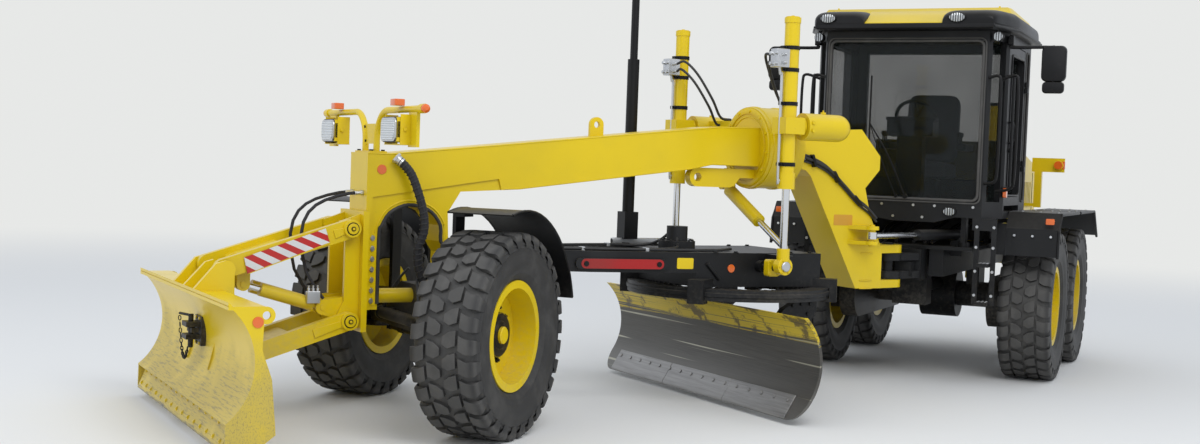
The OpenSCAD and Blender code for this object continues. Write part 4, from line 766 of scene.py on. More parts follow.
pairs = 5
films = {"red": [], "white": []}
for k in range(-1, pairs):
    for kind, foot in (("white", k / pairs), ("red", (k + 0.5) / pairs)):
        ring = [(foot, 0), (foot + 0.1, 0), (foot + 0.3, 1), (foot + 0.2, 1)]
        ring = cut_at(cut_at(ring, 0, 1), 1, -1)
        if len(ring) > 2:
            flat = [on_panel(along, up) for along, up in ring]
            film = [[(x, y, z) for x, z in flat] for y in (0.256, 0.2585)]
            films[kind].append(loft(np.array(film)))
white_film = painted("white_film", (0.72, 0.73, 0.74), (0.6, 0.6, 0.6),
                     gloss=0.35, dust=0.2, mud=0.3)
red_film = painted("red_film", (0.52, 0.016, 0.014), (0.42, 0.03, 0.025),
                   gloss=0.35, dust=0.2, mud=0.3)
joined("hazard_white", films["white"], front, white_film, "dozer_links")
joined("hazard_red", films["red"], front, red_film, "dozer_links")


# Dozer gear: turned pin caps with black grooves on the mast and welded bosses on the ends of
# the arms and links. The blade has its cutting strip's bolts, an orange reflector at each end
# and a forged tow jaw with a hanging chain; the lower cylinders have a valve block.
def pin_discs(x, z, side, steps):
    """Discs on the mast's side at one pin, a (inner, outer, radius, sides) for each."""
    pin_y = 0.265
    return [rod((x, side * (pin_y + inner), z), (x, side * (pin_y + outer), z), radius, sides)
            for inner, outer, radius, sides in steps]


mast_x = 4.72
arm_pin_z = 0.675
link_pin_z = 1.285
pin_caps = []
grooves = []
for z in (arm_pin_z, link_pin_z):
    for side in (1, -1):
        pin_caps += pin_discs(mast_x, z, side, [(-0.012, 0.006, 0.058, 36), (0.005, 0.016, 0.036, 32),
                                                (0.015, 0.026, 0.010, 6)])
        grooves += pin_discs(mast_x, z, side, [(0.004, 0.0075, 0.043, 36), (0.014, 0.018, 0.016, 24)])
joined("mast_pin_caps_grooves", grooves, front, black, "front_frame")
joined("mast_pin_caps", pin_caps, front, yellow, "front_frame", 0.002)
for body_name, pin_z, radius, reach, drop in (("dozer_arms", arm_pin_z, 0.058, 0.24, -0.076),
                                              ("dozer_links", link_pin_z, 0.060, 0.12, -0.038)):
    turn = math.atan2(drop, reach)
    outline = [(mast_x + radius * math.cos(a + turn), pin_z + radius * math.sin(a + turn))
               for a in np.linspace(0.35, 2 * math.pi - 0.35, 22)]
    outline += [(mast_x + reach - 0.03 * math.sin(turn) * k, pin_z + drop + 0.03 * math.cos(turn) * k)
                for k in (-1, 1)]
    bosses = [loft(np.array([[(x, side * y, z) for x, z in outline] for y in (0.244, 0.254)]))
              for side in (1, -1)]
    joined(body_name + "_bosses", bosses, front, yellow, body_name, 0.002)
strip_bolts = []
for y in -1.12 + np.arange(15) * 0.16:
    for x, z in ((5.7215, 0.19), (5.7555, 0.105)):
        strip_bolts.append(rod((x - 0.001, y, z), (x + 0.0135, y, z + 0.006), 0.015, 20))
        strip_bolts.append(rod((x + 0.012, y, z + 0.005), (x + 0.018, y, z + 0.008), 0.0085, 6))
for y in (-0.045, 0.045):
    for z in (0.53, 0.69):
        strip_bolts.append(rod((5.64, y, z), (5.652, y, z), 0.011, 6))
joined("dozer_bolts", strip_bolts, front, yellow, "dozer_blade")
jaw = [slab((5.60, -0.084, 0.516), (5.6435, 0.084, 0.704)),
       slab((5.62, -0.063, 0.557), (5.733, 0.063, 0.588)),
       slab((5.62, -0.063, 0.637), (5.733, 0.063, 0.668)),
       rod((5.69, 0, 0.50), (5.69, 0, 0.715), 0.0165, 24),
       pipe([(5.69, 0, 0.705), (5.71, -0.04, 0.708), (5.735, -0.12, 0.708)], 0.009, 3, 10)]
jaw += [slab((5.652, y - 0.012, 0.60), (5.70, y + 0.012, 0.63)) for y in (-0.05, 0.05)]
joined("tow_jaw", jaw, front, black, "dozer_blade", 0.002)
end_reflectors = [rod((5.60, side * 1.249, 0.80), (5.60, side * 1.256, 0.80), 0.032, 32)
                  for side in (1, -1)]
joined("dozer_reflectors", end_reflectors, front, orange.material, "dozer_blade", 0.001)
chain_links = 18
link_half_length = 0.016
link_half_width = 0.008
t = np.linspace(0, 1, chain_links + 1)
sag = np.stack([5.737 - 0.03 * t, -0.115 + 0.115 * t, 0.70 - 0.20 * t - 0.62 * t * (1 - t)], -1)
chain = []
for k in range(chain_links):
    run = sag[k + 1] - sag[k]
    along_link = run / np.linalg.norm(run)
    ahead_here = np.array((1.0, 0.0, 0.0))
    across_link = np.cross(along_link, ahead_here) if k % 2 else ahead_here
    a = np.linspace(0, 2 * math.pi, 13)[:, None]
    ring = ((sag[k] + sag[k + 1]) / 2 + along_link * link_half_length * np.sin(a)
            + across_link * link_half_width * np.cos(a))
    chain.append(pipe(ring, 0.0032, 1, 8))
joined("tow_chain", chain, front, black, "dozer_blade")
valve = [rounded((4.90, 0.150, 0.79), (4.99, 0.186, 0.87), 0.005)]
for x in (4.915, 4.945, 4.975):
    valve.append(rod((x, 0.168, 0.865), (x, 0.168, 0.889), 0.011, 6))
    valve.append(rod((x, 0.168, 0.885), (x, 0.168, 0.907), 0.007, 12))
valve.append(rod((4.925, 0.12, 0.79), (4.97, 0.16, 0.84), 0.008, 10))
joined("dozer_valve", valve, front, silver.material, "dozer_barrels", 0.001)


# Cab roof: a moulded black shell with a rounded bulge over each side, a yellow skin on top
# that slopes down between the bulges, and a rain gutter. Oval lamps sit in the bulges' noses
# and in the cab's chin, and a round lamp hangs under each front corner.
def bulge(side):
    """One bulge: rings across the roof, y = middle + half |cos a|^0.4, z = foot + height
    (sin a)^0.55, shrinking towards the rear end and the slanted nose."""
    a = np.linspace(0, math.pi, 25)
    rings = []
    for x, outer, height in ((-1.815, 0.86, 0.06), (-1.80, 0.875, 0.10), (-1.72, 0.885, 0.13),
                             (-1.2, 0.885, 0.135), (-0.60, 0.885, 0.135), (-0.40, 0.825, 0.133),
                             (-0.30, 0.793, 0.122), (-0.22, 0.772, 0.104), (-0.185, 0.755, 0.082),
                             (-0.172, 0.745, 0.06)):
        inner = 0.29 + 0.04 * max(0, (x + 0.45) / 0.28)
        middle, half = (outer + inner) / 2, (outer - inner) / 2
        y = middle + half * np.sign(np.cos(a)) * np.abs(np.cos(a)) ** 0.4
        z = 3.043 + height * np.sin(a).clip(0) ** 0.55
        rings.append(np.stack([0 * a + x, side * y, z], -1))
    return loft(np.array(rings))


def oval(centre, size, grow, out):
    """An ellipse square to x: its half width and half height times grow, pushed out ahead."""
    a = np.arange(40) * 2 * math.pi / 40
    return np.stack([0 * a + centre[0] + out, centre[1] + grow * size[0] * np.cos(a),
                     centre[2] + grow * size[1] * np.sin(a)], -1)


roof_plan = np.array([(-1.82, -0.89), (-0.60, -0.89), (-0.17, -0.75), (-0.17, 0.75), (-0.60, 0.89),
                      (-1.82, 0.89)])
roof_middle_x = -0.95
roof_rim = [np.column_stack([roof_plan * k + (roof_middle_x * (1 - k), 0), np.full(6, z)])
            for k, z in ((0.985, 3.0005), (1.0, 3.012), (1.0, 3.04), (0.99, 3.05))]
roof_parts = [loft(np.array(roof_rim)), bulge(1), bulge(-1)]
hatch_line = [(-1.775, 3.05), (-1.77, 3.12), (-1.66, 3.182), (-0.47, 3.182), (-0.31, 3.125),
              (-0.19, 3.056), (-0.19, 3.04)]
hatch = [loft(np.array([[(x, y, z) for x, z in hatch_line] for y in (-0.345, 0.345)]))]
skin_line = [(-1.79, 3.13), (-1.75, 3.215), (-0.83, 3.238), (-0.65, 3.225), (-0.55, 3.15)]
skin_edge = [(x, min(z, 3.165)) for x, z in skin_line]
skin_rows = ((-0.82, skin_edge), (-0.78, skin_line), (0.78, skin_line), (0.82, skin_edge))
skin = [loft(np.array([[(x, y, z) for x, z in line] for y, line in skin_rows]))]
for side in (1, -1):
    for x in np.arange(-1.6, -0.6, 0.18):
        skin.append(rod((x, side * 0.70, 3.215), (x, side * 0.70, 3.243), 0.009, 12))
rain_gutter = [pipe([(-1.83, side * 0.895, 3.02), (-0.60, side * 0.895, 3.02),
                     (-0.165, side * 0.755, 3.02)], 0.009, 1, 8) for side in (1, -1)]
roof_lamp = (0.072, 0.042)
chin_lamp = (0.056, 0.036)
ovals = []
oval_glass = []
for spot, size in (((-0.178, 0.451, 3.093), roof_lamp), ((-0.178, -0.64, 3.093), roof_lamp),
                   ((-0.335, 0.43, 1.487), chin_lamp), ((-0.335, -0.48, 1.487), chin_lamp)):
    ovals.append(loft(np.array([oval(spot, size, grow, out)
                                for grow, out in ((1.0, -0.03), (1.0, 0.016), (0.93, 0.02))])))
    oval_glass.append(loft(np.array([oval(spot, size, grow, out)
                                     for grow, out in ((0.86, 0.0), (0.86, 0.021), (0.4, 0.025))])))
roof = joined("roof_shell", roof_parts + rain_gutter, rear, black, "rear_frame", 0.006, sharp=40)
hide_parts("cab_roof")
roof_skin = joined("roof_skin", hatch + skin, rear, yellow, "rear_frame", 0.008)
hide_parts("cab_roof")
joined("cab_lamp_rims", ovals, rear, black, "rear_frame", 0.001)
joined("cab_lamp_glasses", oval_glass, rear, dark_lens.material, "rear_frame")
corner_lamps = []
corner_glass = []
for side in (1, -1):
    y = side * 0.762
    corner_lamps.append(rod((-0.395, y, 2.95), (-0.33, y, 2.95), 0.041, 28))
    corner_lamps.append(slab((-0.38, y - 0.012, 2.98), (-0.35, y + 0.012, 3.005)))
    corner_glass.append(rod((-0.331, y, 2.95), (-0.324, y, 2.95), 0.036, 28))
lamps = joined("corner_lamps", corner_lamps, rear, black, "rear_frame", 0.003)
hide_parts("cab_roof")
joined("corner_lamp_glasses", corner_glass, rear, dark_lens.material, "rear_frame")


# Windscreen and side panes: moulded rubber seals round the openings, the handle and lock of
# the door, the wiper with its two arms, the chin's bolts and an orange marker at the corner.
def seal(corners, width, lay):
    """A rubber frame round an opening: a pipe along its rounded corners. lay gives the place
    of an (across, up) pair."""
    low, high = np.array(corners, float)
    r = 0.05
    turn = np.linspace(0, math.pi / 2, 5)
    path = []
    for q, (cu, cv) in enumerate(((high[0] - r, high[1] - r), (low[0] + r, high[1] - r),
                                  (low[0] + r, low[1] + r), (high[0] - r, low[1] + r))):
        for a in turn + q * math.pi / 2:
            path.append(lay(cu + r * math.cos(a), cv + r * math.sin(a)))
    path.append(path[0])
    return pipe(path, width, 1, 8)


face_x = -0.347
face_y = 0.65
wall_y = 0.822
pane_low = 1.583
pane_high = 2.917
seals = [seal(((-face_y, pane_low), (face_y, pane_high)), 0.012, lambda y, z: (face_x, y, z)),
         seal(((-face_y - 0.02, 1.56), (face_y + 0.02, 2.94)), 0.007, lambda y, z: (face_x, y, z)),
         seal(((-1.42, 1.58), (-0.64, 2.92)), 0.010, lambda x, z: (x, -wall_y, z))]
for side in (1, -1):
    seals.append(seal(((-1.66, pane_low), (-1.495, pane_high)), 0.009,
                      lambda x, z: (x, side * 0.821, z)))
joined("window_seals", seals, rear, rubber.material, "rear_frame",
               mark=lambda p: 0 * p[:, 0] + tread_r)
door_parts = [seal(((-1.355, 1.635), (-0.715, 2.83)), 0.010, lambda x, z: (x, wall_y, z)),
              pipe([(-0.71, wall_y, 2.08), (-0.71, 0.862, 2.10), (-0.71, 0.862, 2.24),
                    (-0.71, wall_y, 2.26)], 0.009, 4, 10),
              rod((-0.72, 0.818, 2.02), (-0.72, 0.835, 2.02), 0.02, 24)]
joined("door_trim", door_parts, rear, black, "cab_door", 0.001)
blade_top = (-0.322, -0.28, 2.22)
wiper = [rod((-0.345, 0.05, 1.60), (-0.318, 0.05, 1.60), 0.02, 20),
         rod((-0.345, -0.03, 1.60), (-0.322, -0.03, 1.60), 0.014, 20),
         pipe([(-0.322, 0.05, 1.60), (-0.316, -0.10, 1.93), blade_top], 0.006, 4, 8),
         pipe([(-0.322, -0.03, 1.60), (-0.318, -0.16, 1.90), blade_top], 0.004, 4, 8),
         slab((-0.334, -0.287, 1.86), (-0.326, -0.273, 2.62))]
joined("wiper", wiper, rear, black, "rear_frame")
chin_rows = ((1.53, (-0.62, -0.38, -0.15, 0.12, 0.3, 0.62)), (1.43, (-0.05, 0.2)))
chin_bolts = [rod((-0.352, y, z), (-0.341, y, z), 0.012, 6) for z, row in chin_rows for y in row]
joined("chin_bolts", chin_bolts, rear, silver.material, "rear_frame")
marker = [rounded((-0.62, wall_y, 1.62), (-0.55, 0.850, 1.70), 0.012, 1)]
joined("side_marker", marker, rear, orange.material, "rear_frame", 0.002)

# Driver's controls: the padded wheel rim with its spokes, the instrument hood, three levers on
# each arm rest and the pedals.
wheel_hub = np.array((-0.83, 0.0, 2.29))
wheel_r = 0.17
wheel_tilt = math.radians(-55)
wheel_up = np.array((math.cos(wheel_tilt), 0, -math.sin(wheel_tilt)))
wheel_side = np.array((0.0, 1.0, 0.0))
a = np.linspace(0, 2 * math.pi, 37)[:, None]
controls = [pipe(wheel_hub + wheel_r * (np.cos(a) * wheel_up + np.sin(a) * wheel_side), 0.0165, 1, 10)]
for turn in (0.6, 2.54, 4.71):
    spoke = 0.165 * (math.cos(turn) * wheel_up + math.sin(turn) * wheel_side)
    controls.append(rod(wheel_hub, wheel_hub + spoke, 0.011, 10))
controls.append(rounded((-0.80, -0.215, 2.255), (-0.60, 0.215, 2.285), 0.03, 2))
for y in (-0.34, 0.34):
    controls.append(rounded((-1.55, y - 0.045, 2.02), (-1.10, y + 0.045, 2.08), 0.03, 2))
    for k in range(3):
        x = -1.18 + 0.06 * k
        controls.append(pipe([(x, y, 2.07), (x, y, 2.14)], 0.006, 1, 8))
        controls.append(pipe([(x, y, z) for z in (2.13, 2.15, 2.175, 2.18)],
                             [0.008, 0.017, 0.015, 0.004], 1, 12))
for y in (-0.16, 0.16):
    pedal = slab((-0.05, -0.04, -0.006), (0.05, 0.04, 0.006))
    controls.append(tilted(pedal, 0.7, (-0.55, y, 1.56)))
joined("controls", controls, rear, black, "rear_frame", 0.002)

# Mirrors: a moulded rounded housing with the glass sunk in its rear face, on a bent tube arm
# with a clamp on the head rail; a small wide-angle mirror under the main one.
arm_y = 0.835
housings = []
arms = []
mirror_glass = []
for side in (1, -1):
    y0, y1 = sorted((side * 1.09, side * 1.28))
    housings.append(rounded((-0.588, y0, 2.60), (-0.535, y1, 2.888), 0.045, bulge=0.006))
    housings.append(rounded((-0.588, y0 + 0.01, 2.502), (-0.542, y1 - 0.01, 2.592), 0.03, bulge=0.004))
    mirror_glass.append(rounded((-0.5895, y0 + 0.014, 2.614), (-0.586, y1 - 0.014, 2.874), 0.035))
    mirror_glass.append(rounded((-0.5895, y0 + 0.022, 2.512), (-0.586, y1 - 0.022, 2.582), 0.02))
    bends = ((arm_y, 2.985), (arm_y, 2.90), (0.85, 2.88), (1.16, 2.88), (1.185, 2.86), (1.185, 2.56))
    arms.append(pipe([(-0.56, side * y, z) for y, z in bends], 0.0145, 4, 12))
    y = side * arm_y
    arms.append(rounded((-0.59, y - 0.022, 2.90), (-0.53, y + 0.022, 2.975), 0.008, 1))
    for z in (2.915, 2.96):
        arms.append(rod((-0.532, y, z), (-0.521, y, z), 0.010, 6))
silvered = Finish("mirror_glass", (0.8, 0.8, 0.8), Metallic=1.0, Roughness=0.03)
mirror_set = joined("mirror_housings", housings, rear, black, "rear_frame", 0.003)
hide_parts("mirrors")
mirror_arms = joined("mirror_arms", arms, rear, black, "rear_frame")
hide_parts("mirrors")
joined("mirror_faces", mirror_glass, rear, silvered.material, "rear_frame")

# Entry rails: steel tubes bowed out from both front corners of the cab, bent at their ends
# and welded to the corner posts.
outer_rail = ((-0.47, 0.775, 2.60), (-0.445, 0.90, 2.635), (-0.435, 0.925, 2.55),
              (-0.435, 0.928, 2.2), (-0.435, 0.925, 1.80), (-0.445, 0.90, 1.70), (-0.47, 0.775, 1.67))
inner_rail = ((-0.365, 0.70, 2.61), (-0.345, 0.775, 2.625), (-0.34, 0.80, 2.56),
              (-0.34, 0.803, 2.2), (-0.34, 0.80, 1.82), (-0.345, 0.775, 1.745), (-0.365, 0.70, 1.73))
rails = [pipe([(x, side * y, z) for x, y, z in line], 0.0125, 5, 12)
         for side in (1, -1) for line in (outer_rail, inner_rail)]
joined("entry_rails", rails, rear, black, "rear_frame")

# Under the cab's floor: a rubber bulkhead mat ahead of the engine, and six hoses that run
# forward from it and close up towards the hinge.
floor_lines = [rounded((-1.798, -0.585, 1.195), (-1.785, 0.585, 1.435), 0.01)]
for y in (-0.3, -0.24, -0.1, 0.12, 0.26, 0.34):
    run = [(-1.78, y, 1.40), (-1.70, y * 1.05, 1.36), (-1.2, y, 1.30), (-0.85, y * 0.8, 1.26),
           (-0.6, y * 0.7, 1.21)]
    floor_lines.append(pipe(run, 0.016, 6, 10))
joined("floor_services", floor_lines, rear, hose_rubber.material, "rear_frame")

# Rear mudguards: rolled edges, a front plate, bolts of the brackets and orange reflectors. The
# step treads have raised studs, and the rear of the machine its indicators and tail lamps.
guard = []
guard_bolts = []
fold = [(-0.76, 1.13), (-0.79, 1.36), (-0.91, 1.50), (-2.15, 1.50)]
back_fold = [(-2.25, 1.50), (-3.45, 1.50), (-3.78, 1.24)]
post_x = -0.345
for side in (1, -1):
    guard.append(slab((-0.772, side * 0.716, 1.13), (-0.764, side * 0.832, 1.40)))
    for line in (fold, back_fold):
        for y in (0.829, 1.262):
            guard.append(pipe([(x - 0.004, side * y, z - 0.006) for x, z in line], 0.0085, 1, 8))
        guard.append(pipe([(x, side * 1.262, z - 0.012) for x, z in line], 0.013, 1, 8))
    for y in (0.90, 1.05, 1.20):
        for x in (-1.18, -1.93, -2.48, -3.28):
            guard_bolts.append(rod((x, side * y, 1.499), (x, side * y, 1.506), 0.011, 6))
        guard_bolts.append(rod((-0.772, side * y, 1.30), (-0.760, side * y, 1.302), 0.011, 6))
    for z in (0.80, 1.0, 1.2, 1.37):
        for y in (side * 0.80, side * 0.66):
            guard_bolts.append(rod((post_x - 0.008, y, z), (post_x + 0.006, y, z), 0.013, 6))
studs = []
for side in (1, -1):
    for z in (0.75, 1.07):
        for i in range(3):
            for k in range(3):
                spot = (-0.35 + 0.035 * i, side * (0.705 + 0.03 * k), z)
                studs.append(rod(spot, np.add(spot, (0, 0, 0.006)), 0.008, 8))
joined("mudguard_edges", guard, rear, charcoal, "rear_frame")
joined("mudguard_bolts", guard_bolts + studs, rear, silver.material, "rear_frame")
guard_lamps = []
post_lamps = []
post_markers = []
tail = []
for side in (1, -1):
    y = side * 1.19
    guard_lamps.append(rounded((-0.79, y - 0.035, 1.405), (-0.755, y + 0.035, 1.455), 0.008))
    y = side * 0.93
    post_lamps.append(rod((-3.139, y, 1.94), (-3.131, y, 1.94), 0.041, 32))
    y = side * 0.97
    post_markers.append(rounded((-3.212, y - 0.018, 1.90), (-3.186, y + 0.018, 1.98), 0.008))
    y = side * 0.50
    tail.append(rounded((-4.195, y - 0.07, 1.02), (-4.178, y + 0.07, 1.10), 0.015))
post_lamps += post_markers
joined("guard_reflectors", guard_lamps, rear, orange.material, "rear_frame", 0.001)
joined("post_indicators", post_lamps, rear, orange.material, "rear_frame", 0.001)
joined("tail_lamps", tail, rear, red_lens.material, "rear_frame", 0.001)

# Engine hood: upright slats in the side louvres, thin bars behind the grille, the seams,
# latches and grab rails of the side doors, and two clamp rings on the exhaust.
slats = []
trim = []
for side in (1, -1):
    for x in np.arange(-3.68, -2.9, 0.09):
        slats.append(slab((x - 0.004, side * 0.563, 1.50), (x + 0.016, side * 0.585, 1.76)))
    for x, seam_top in ((-2.35, 2.02), (-3.80, 1.86)):
        trim.append(pipe([(x, side * 0.5905, 1.24), (x, side * 0.5905, seam_top)], 0.004, 1, 6))
    for x in (-2.45, -3.15, -3.72):
        trim.append(rounded((x - 0.04, side * 0.588, 1.30), (x + 0.04, side * 0.604, 1.345), 0.01, 1))
    grab = [(-2.0, 0.59), (-2.0, 0.635), (-2.3, 0.635), (-2.3, 0.59)]
    trim.append(pipe([(x, side * y, 1.90) for x, y in grab], 0.010, 1, 8))
for y in np.arange(-0.40, 0.41, 0.08):
    slats.append(rod((-3.985, y, 1.32), (-3.985, y, 1.85), 0.003, 6))
stack_top = (-2.9, 0.3, 2.54)
for low, high in ((-0.42, -0.38), (-0.03, 0.0)):
    slats.append(hoop([(0.0705, low), (0.0745, low), (0.0745, high), (0.0705, high)], stack_top, 2))
joined("hood_slats", slats, rear, black, "rear_frame")
joined("hood_trim", trim, rear, black, "rear_frame", 0.001)


# Drawbar: the red strap with its two eyes, a blank yellow sign and an orange reflector on its
# left side, and a short bar welded under the strap.
def at_strap(points):
    """Points along the drawbar's slanting left side, y outwards from it, in the row frame."""
    slant = math.atan2(-0.12, 0.8)
    along = np.array((math.cos(slant), math.sin(slant), 0.0))
    outward = np.array((-math.sin(slant), math.cos(slant), 0.0))
    return front(np.array((2.15, 0.42, 0.0)) + points[:, :1] * along + points[:, 1:2] * outward
                 + points[:, 2:] * np.array((0.0, 0.0, 1.0)))


red_paint = painted("red_enamel", (0.36, 0.007, 0.007), (0.28, 0.018, 0.015),
                    gloss=0.3, dust=0.15, mud=0.2)
strap = [rounded((0.262, 0.0235, 1.027), (0.898, 0.0275, 1.097), 0.034, 1),
         rounded((0.262, -0.001, 1.0255), (0.898, 0.0235, 1.0985), 0.0355, 1)]
joined("drawbar_strap", strap, at_strap, red_paint, "drawbar", 0.001)
eyes = [rod((x, 0.024, 1.062), (x, 0.034, 1.062), 0.019, 24) for x in (0.30, 0.86)]
joined("strap_bolts", eyes, at_strap, black, "drawbar", 0.001)
signs = [rounded((0.02, -0.001, 1.03), (0.15, 0.003, 1.11), 0.01, 1)]
joined("drawbar_sign", signs, at_strap, yellow, "drawbar")
side_reflector = [rod((1.848, 0.428, 1.035), (1.848, 0.4405, 1.035), 0.03, 32)]
joined("drawbar_reflector", side_reflector, front, orange.material, "drawbar", 0.001)
side_bar = [pipe([(2.06, 0.431, 1.072), (1.949, 0.436, 0.953)], 0.013, 1, 10)]
joined("drawbar_side_bar", side_bar, front, charcoal, "drawbar")

# Lift rod sockets: a cast yellow cup that clasps the drawbar's ball, its cover held by six
# screws, and an aluminium cap in the middle. They swing with the rod.
ball_z = 1.075
screw_circle = 0.052
for side, name in ((1, "left"), (-1, "right")):
    y = side * lift_y
    body_name = "lift_rod_" + name
    socket = [rod((lift_x, side * 0.716, ball_z), (lift_x, side * 0.786, ball_z), 0.064, 40),
              rod((lift_x, y, 1.11), (lift_x, y, 1.205), 0.047, 32)]
    for a in np.arange(6) * math.pi / 3:
        x = lift_x + screw_circle * math.cos(a)
        z = ball_z + screw_circle * math.sin(a)
        socket.append(rod((x, side * 0.784, z), (x, side * 0.793, z), 0.007, 6))
    joined("lift_socket_" + name, socket, front, yellow, body_name, 0.003)
    cap = [rod((lift_x, side * 0.784, ball_z), (lift_x, side * 0.80, ball_z), 0.038, 32)]
    joined("lift_ball_cap_" + name, cap, front, silver.material, body_name, 0.008)

# Top of the drawbar: the bolts of the circle drive and of the shoes with their washers, an
# aluminium tube for the blade's sensor, three hoses in clamps, and the bolted feet that carry
# the balls of the lift rods.
drive_bolts = []
for a in np.arange(10) * 2 * math.pi / 10:
    x = 2.06 + 0.12 * math.cos(a)
    y = 0.12 * math.sin(a)
    drive_bolts.append(rod((x, y, 1.214), (x, y, 1.226), 0.010, 6))
for side in (1, -1):
    for x in (1.12, 1.30, 1.80, 1.98):
        for top, radius, sides in ((1.162, 0.016, 6), (1.153, 0.024, 24)):
            drive_bolts.append(rod((x, side * 0.42, 1.149), (x, side * 0.42, top), radius, sides))
joined("drawbar_bolts", drive_bolts, front, charcoal, "drawbar")
tube_parts = [rounded((1.62, -0.505, 1.155), (2.36, -0.455, 1.205), 0.006)]
joined("sensor_tube", tube_parts, front, silver.material, "drawbar", 0.002)
routes = (((3.5, 0.05, 1.156), (3.0, 0.18, 1.162), (2.5, 0.27, 1.162), (2.2, 0.2, 1.17),
           (2.12, 0.10, 1.20), (2.09, 0.05, 1.25)),
          ((3.5, 0.02, 1.156), (2.98, 0.215, 1.162), (2.5, 0.30, 1.162), (1.95, 0.33, 1.162),
           (1.7, 0.2, 1.165)),
          ((3.5, -0.04, 1.156), (3.0, -0.2, 1.162), (2.5, -0.30, 1.162), (2.2, -0.25, 1.165),
           (2.14, -0.12, 1.21), (2.10, -0.05, 1.27)))
runs = [pipe(route, 0.011, 8, 10) for route in routes]
joined("drawbar_hoses", runs, front, hose_rubber.material, "drawbar")
clamps = [rounded((x - 0.015, y - 0.03, 1.149), (x + 0.015, y + 0.03, 1.176), 0.006, 2)
          for x, y in ((2.98, 0.195), (2.5, 0.285), (2.98, -0.2), (2.5, -0.30))]
joined("hose_clamps", clamps, front, silver.material, "drawbar", 0.001)
feet = []
for side in (1, -1):
    y = side * 0.60
    feet.append(rounded((1.545, y - 0.03, 0.99), (1.65, y + 0.03, 1.115), 0.02, 1))
    for z in (1.005, 1.1):
        for x in (1.56, 1.635):
            feet.append(rod((x, side * 0.628, z), (x, side * 0.64, z), 0.009, 6))
joined("lift_feet", feet, front, yellow, "drawbar", 0.002)

# Neck sign: a blank orange film with rounded corners, stuck on the left side of the goose
# neck.
orange_sign = painted("sign_film", (0.62, 0.30, 0.02), (0.5, 0.27, 0.03),
                      gloss=0.35, dust=0.2, mud=0.2)
sign = [rounded((0.519, 0.1690, 1.358), (0.705, 0.1720, 1.443), 0.01, 1)]
joined("neck_sign", sign, front, orange_sign, "front_frame")

# Circle: a raised band rolled round its side, and the pins and bolts that hold the two blade
# arms to it.
circle_x = 1.58
rolled_band = [(0.779, 0.836), (0.789, 0.842), (0.789, 0.866), (0.779, 0.872)]
band = hoop(rolled_band, (circle_x, 0, 0), 2, 120)
joined("circle_band", [band], front, charcoal, "circle_ring")
arm_pins = []
for side in (1, -1):
    arm_pins.append(rod((1.5, side * 0.624, 0.30), (1.5, side * 0.636, 0.30), 0.035, 28))
    for x, z in ((1.20, 0.775), (1.28, 0.775), (1.36, 0.765), (1.22, 0.70)):
        arm_pins.append(rod((x, side * 0.558, z), (x, side * 0.573, z), 0.015, 6))
joined("arm_bolts", arm_pins, front, charcoal, "circle_ring", 0.001)

# Grading blade: the cutting edge in three lengths of hard steel with its row of plough bolts,
# worn bright by the ground.
edge_top = np.array((1.747, 0.200))
edge_way = np.array((1.851 - 1.747, 0.035 - 0.200))
edge_way /= np.linalg.norm(edge_way)
edge_face = np.array((-edge_way[1], edge_way[0]))


def on_edge(down, out, y):
    """A point of the blade's foot: so far down its slope, out from its face and to the left."""
    x, z = edge_top + edge_way * down + edge_face * out
    return x, y, z


worn_steel = Finish("worn_edge", (0.30, 0.29, 0.28), Metallic=0.85)
grind = worn_steel.noise(1, 5, 0.65, worn_steel.drawn(60, 2.5, 60, front_turn))
worn_steel.set(Base_Color=worn_steel.mix(grind, (0.12, 0.115, 0.11), (0.5, 0.49, 0.48)),
               Roughness=grind * 0.3 + 0.25, Normal=worn_steel.bump(grind, 0.0008, 0.6))
edge_section = ((0.004, 0.0), (0.004, 0.010), (0.175, 0.010), (0.19, 0.0))
cutting = [loft(np.array([[on_edge(down, out, y) for down, out in edge_section] for y in length]))
           for length in ((-1.31, -0.48), (-0.476, 0.376), (0.38, 1.17))]
blade_bolts = [rod(on_edge(0.055, 0.009, y), on_edge(0.055, 0.016, y), 0.014, 20)
               for y in -1.26 + np.arange(16) * 0.158]
joined("cutting_edge", cutting, front, worn_steel.material, "grading_blade", 0.002)
joined("edge_bolts", blade_bolts, front, worn_steel.material, "grading_blade", 0.002)

# Front axle gear: the rolled edges of the front mudguards, a sleeve round the axle's pivot, and
# the steering cylinder on two brackets behind the beam with its hoses.
guard_r = 0.797
sweep = np.radians(np.linspace(75.5, 165.5, 16))
for name, side in (("left", 1), ("right", -1)):
    at_hub = at_wheel("roll_front_" + name, side)
    edges_of_guard = [pipe([(side * guard_r * math.cos(b), y, guard_r * math.sin(b)) for b in sweep],
                           0.008, 1, 8) for y in (-0.222, 0.227)]
    joined("guard_edge_" + name, edges_of_guard, at_hub, black, "knuckle_" + name)
steer_x = 4.255
steer_z = 0.66
sleeve = [(0.0955, 3.775), (0.099, 3.780), (0.099, 3.922), (0.0955, 3.927)]
cylinder = [hoop(sleeve, (0, 0, 1.07), 0, 48)]
for y0, y1, radius in ((-0.42, 0.42, 0.042), (-0.44, -0.40, 0.048), (0.40, 0.44, 0.048)):
    cylinder.append(rod((steer_x, y0, steer_z), (steer_x, y1, steer_z), radius, 28))
steer_hoses = []
for side in (1, -1):
    cylinder.append(slab((4.19, side * 0.3 - 0.03, 0.62), (4.25, side * 0.3 + 0.03, 0.70)))
    run = ((steer_x, 0.36, 0.70), (4.26, 0.30, 0.78), (4.22, 0.16, 0.93), (4.18, 0.1, 1.0))
    steer_hoses.append(pipe([(x, side * y, z) for x, y, z in run], 0.010, 6, 10))
joined("steer_cylinder", cylinder, front, black, "front_frame", 0.002)
joined("steer_hoses", steer_hoses, front, hose_rubber.material, "front_frame")

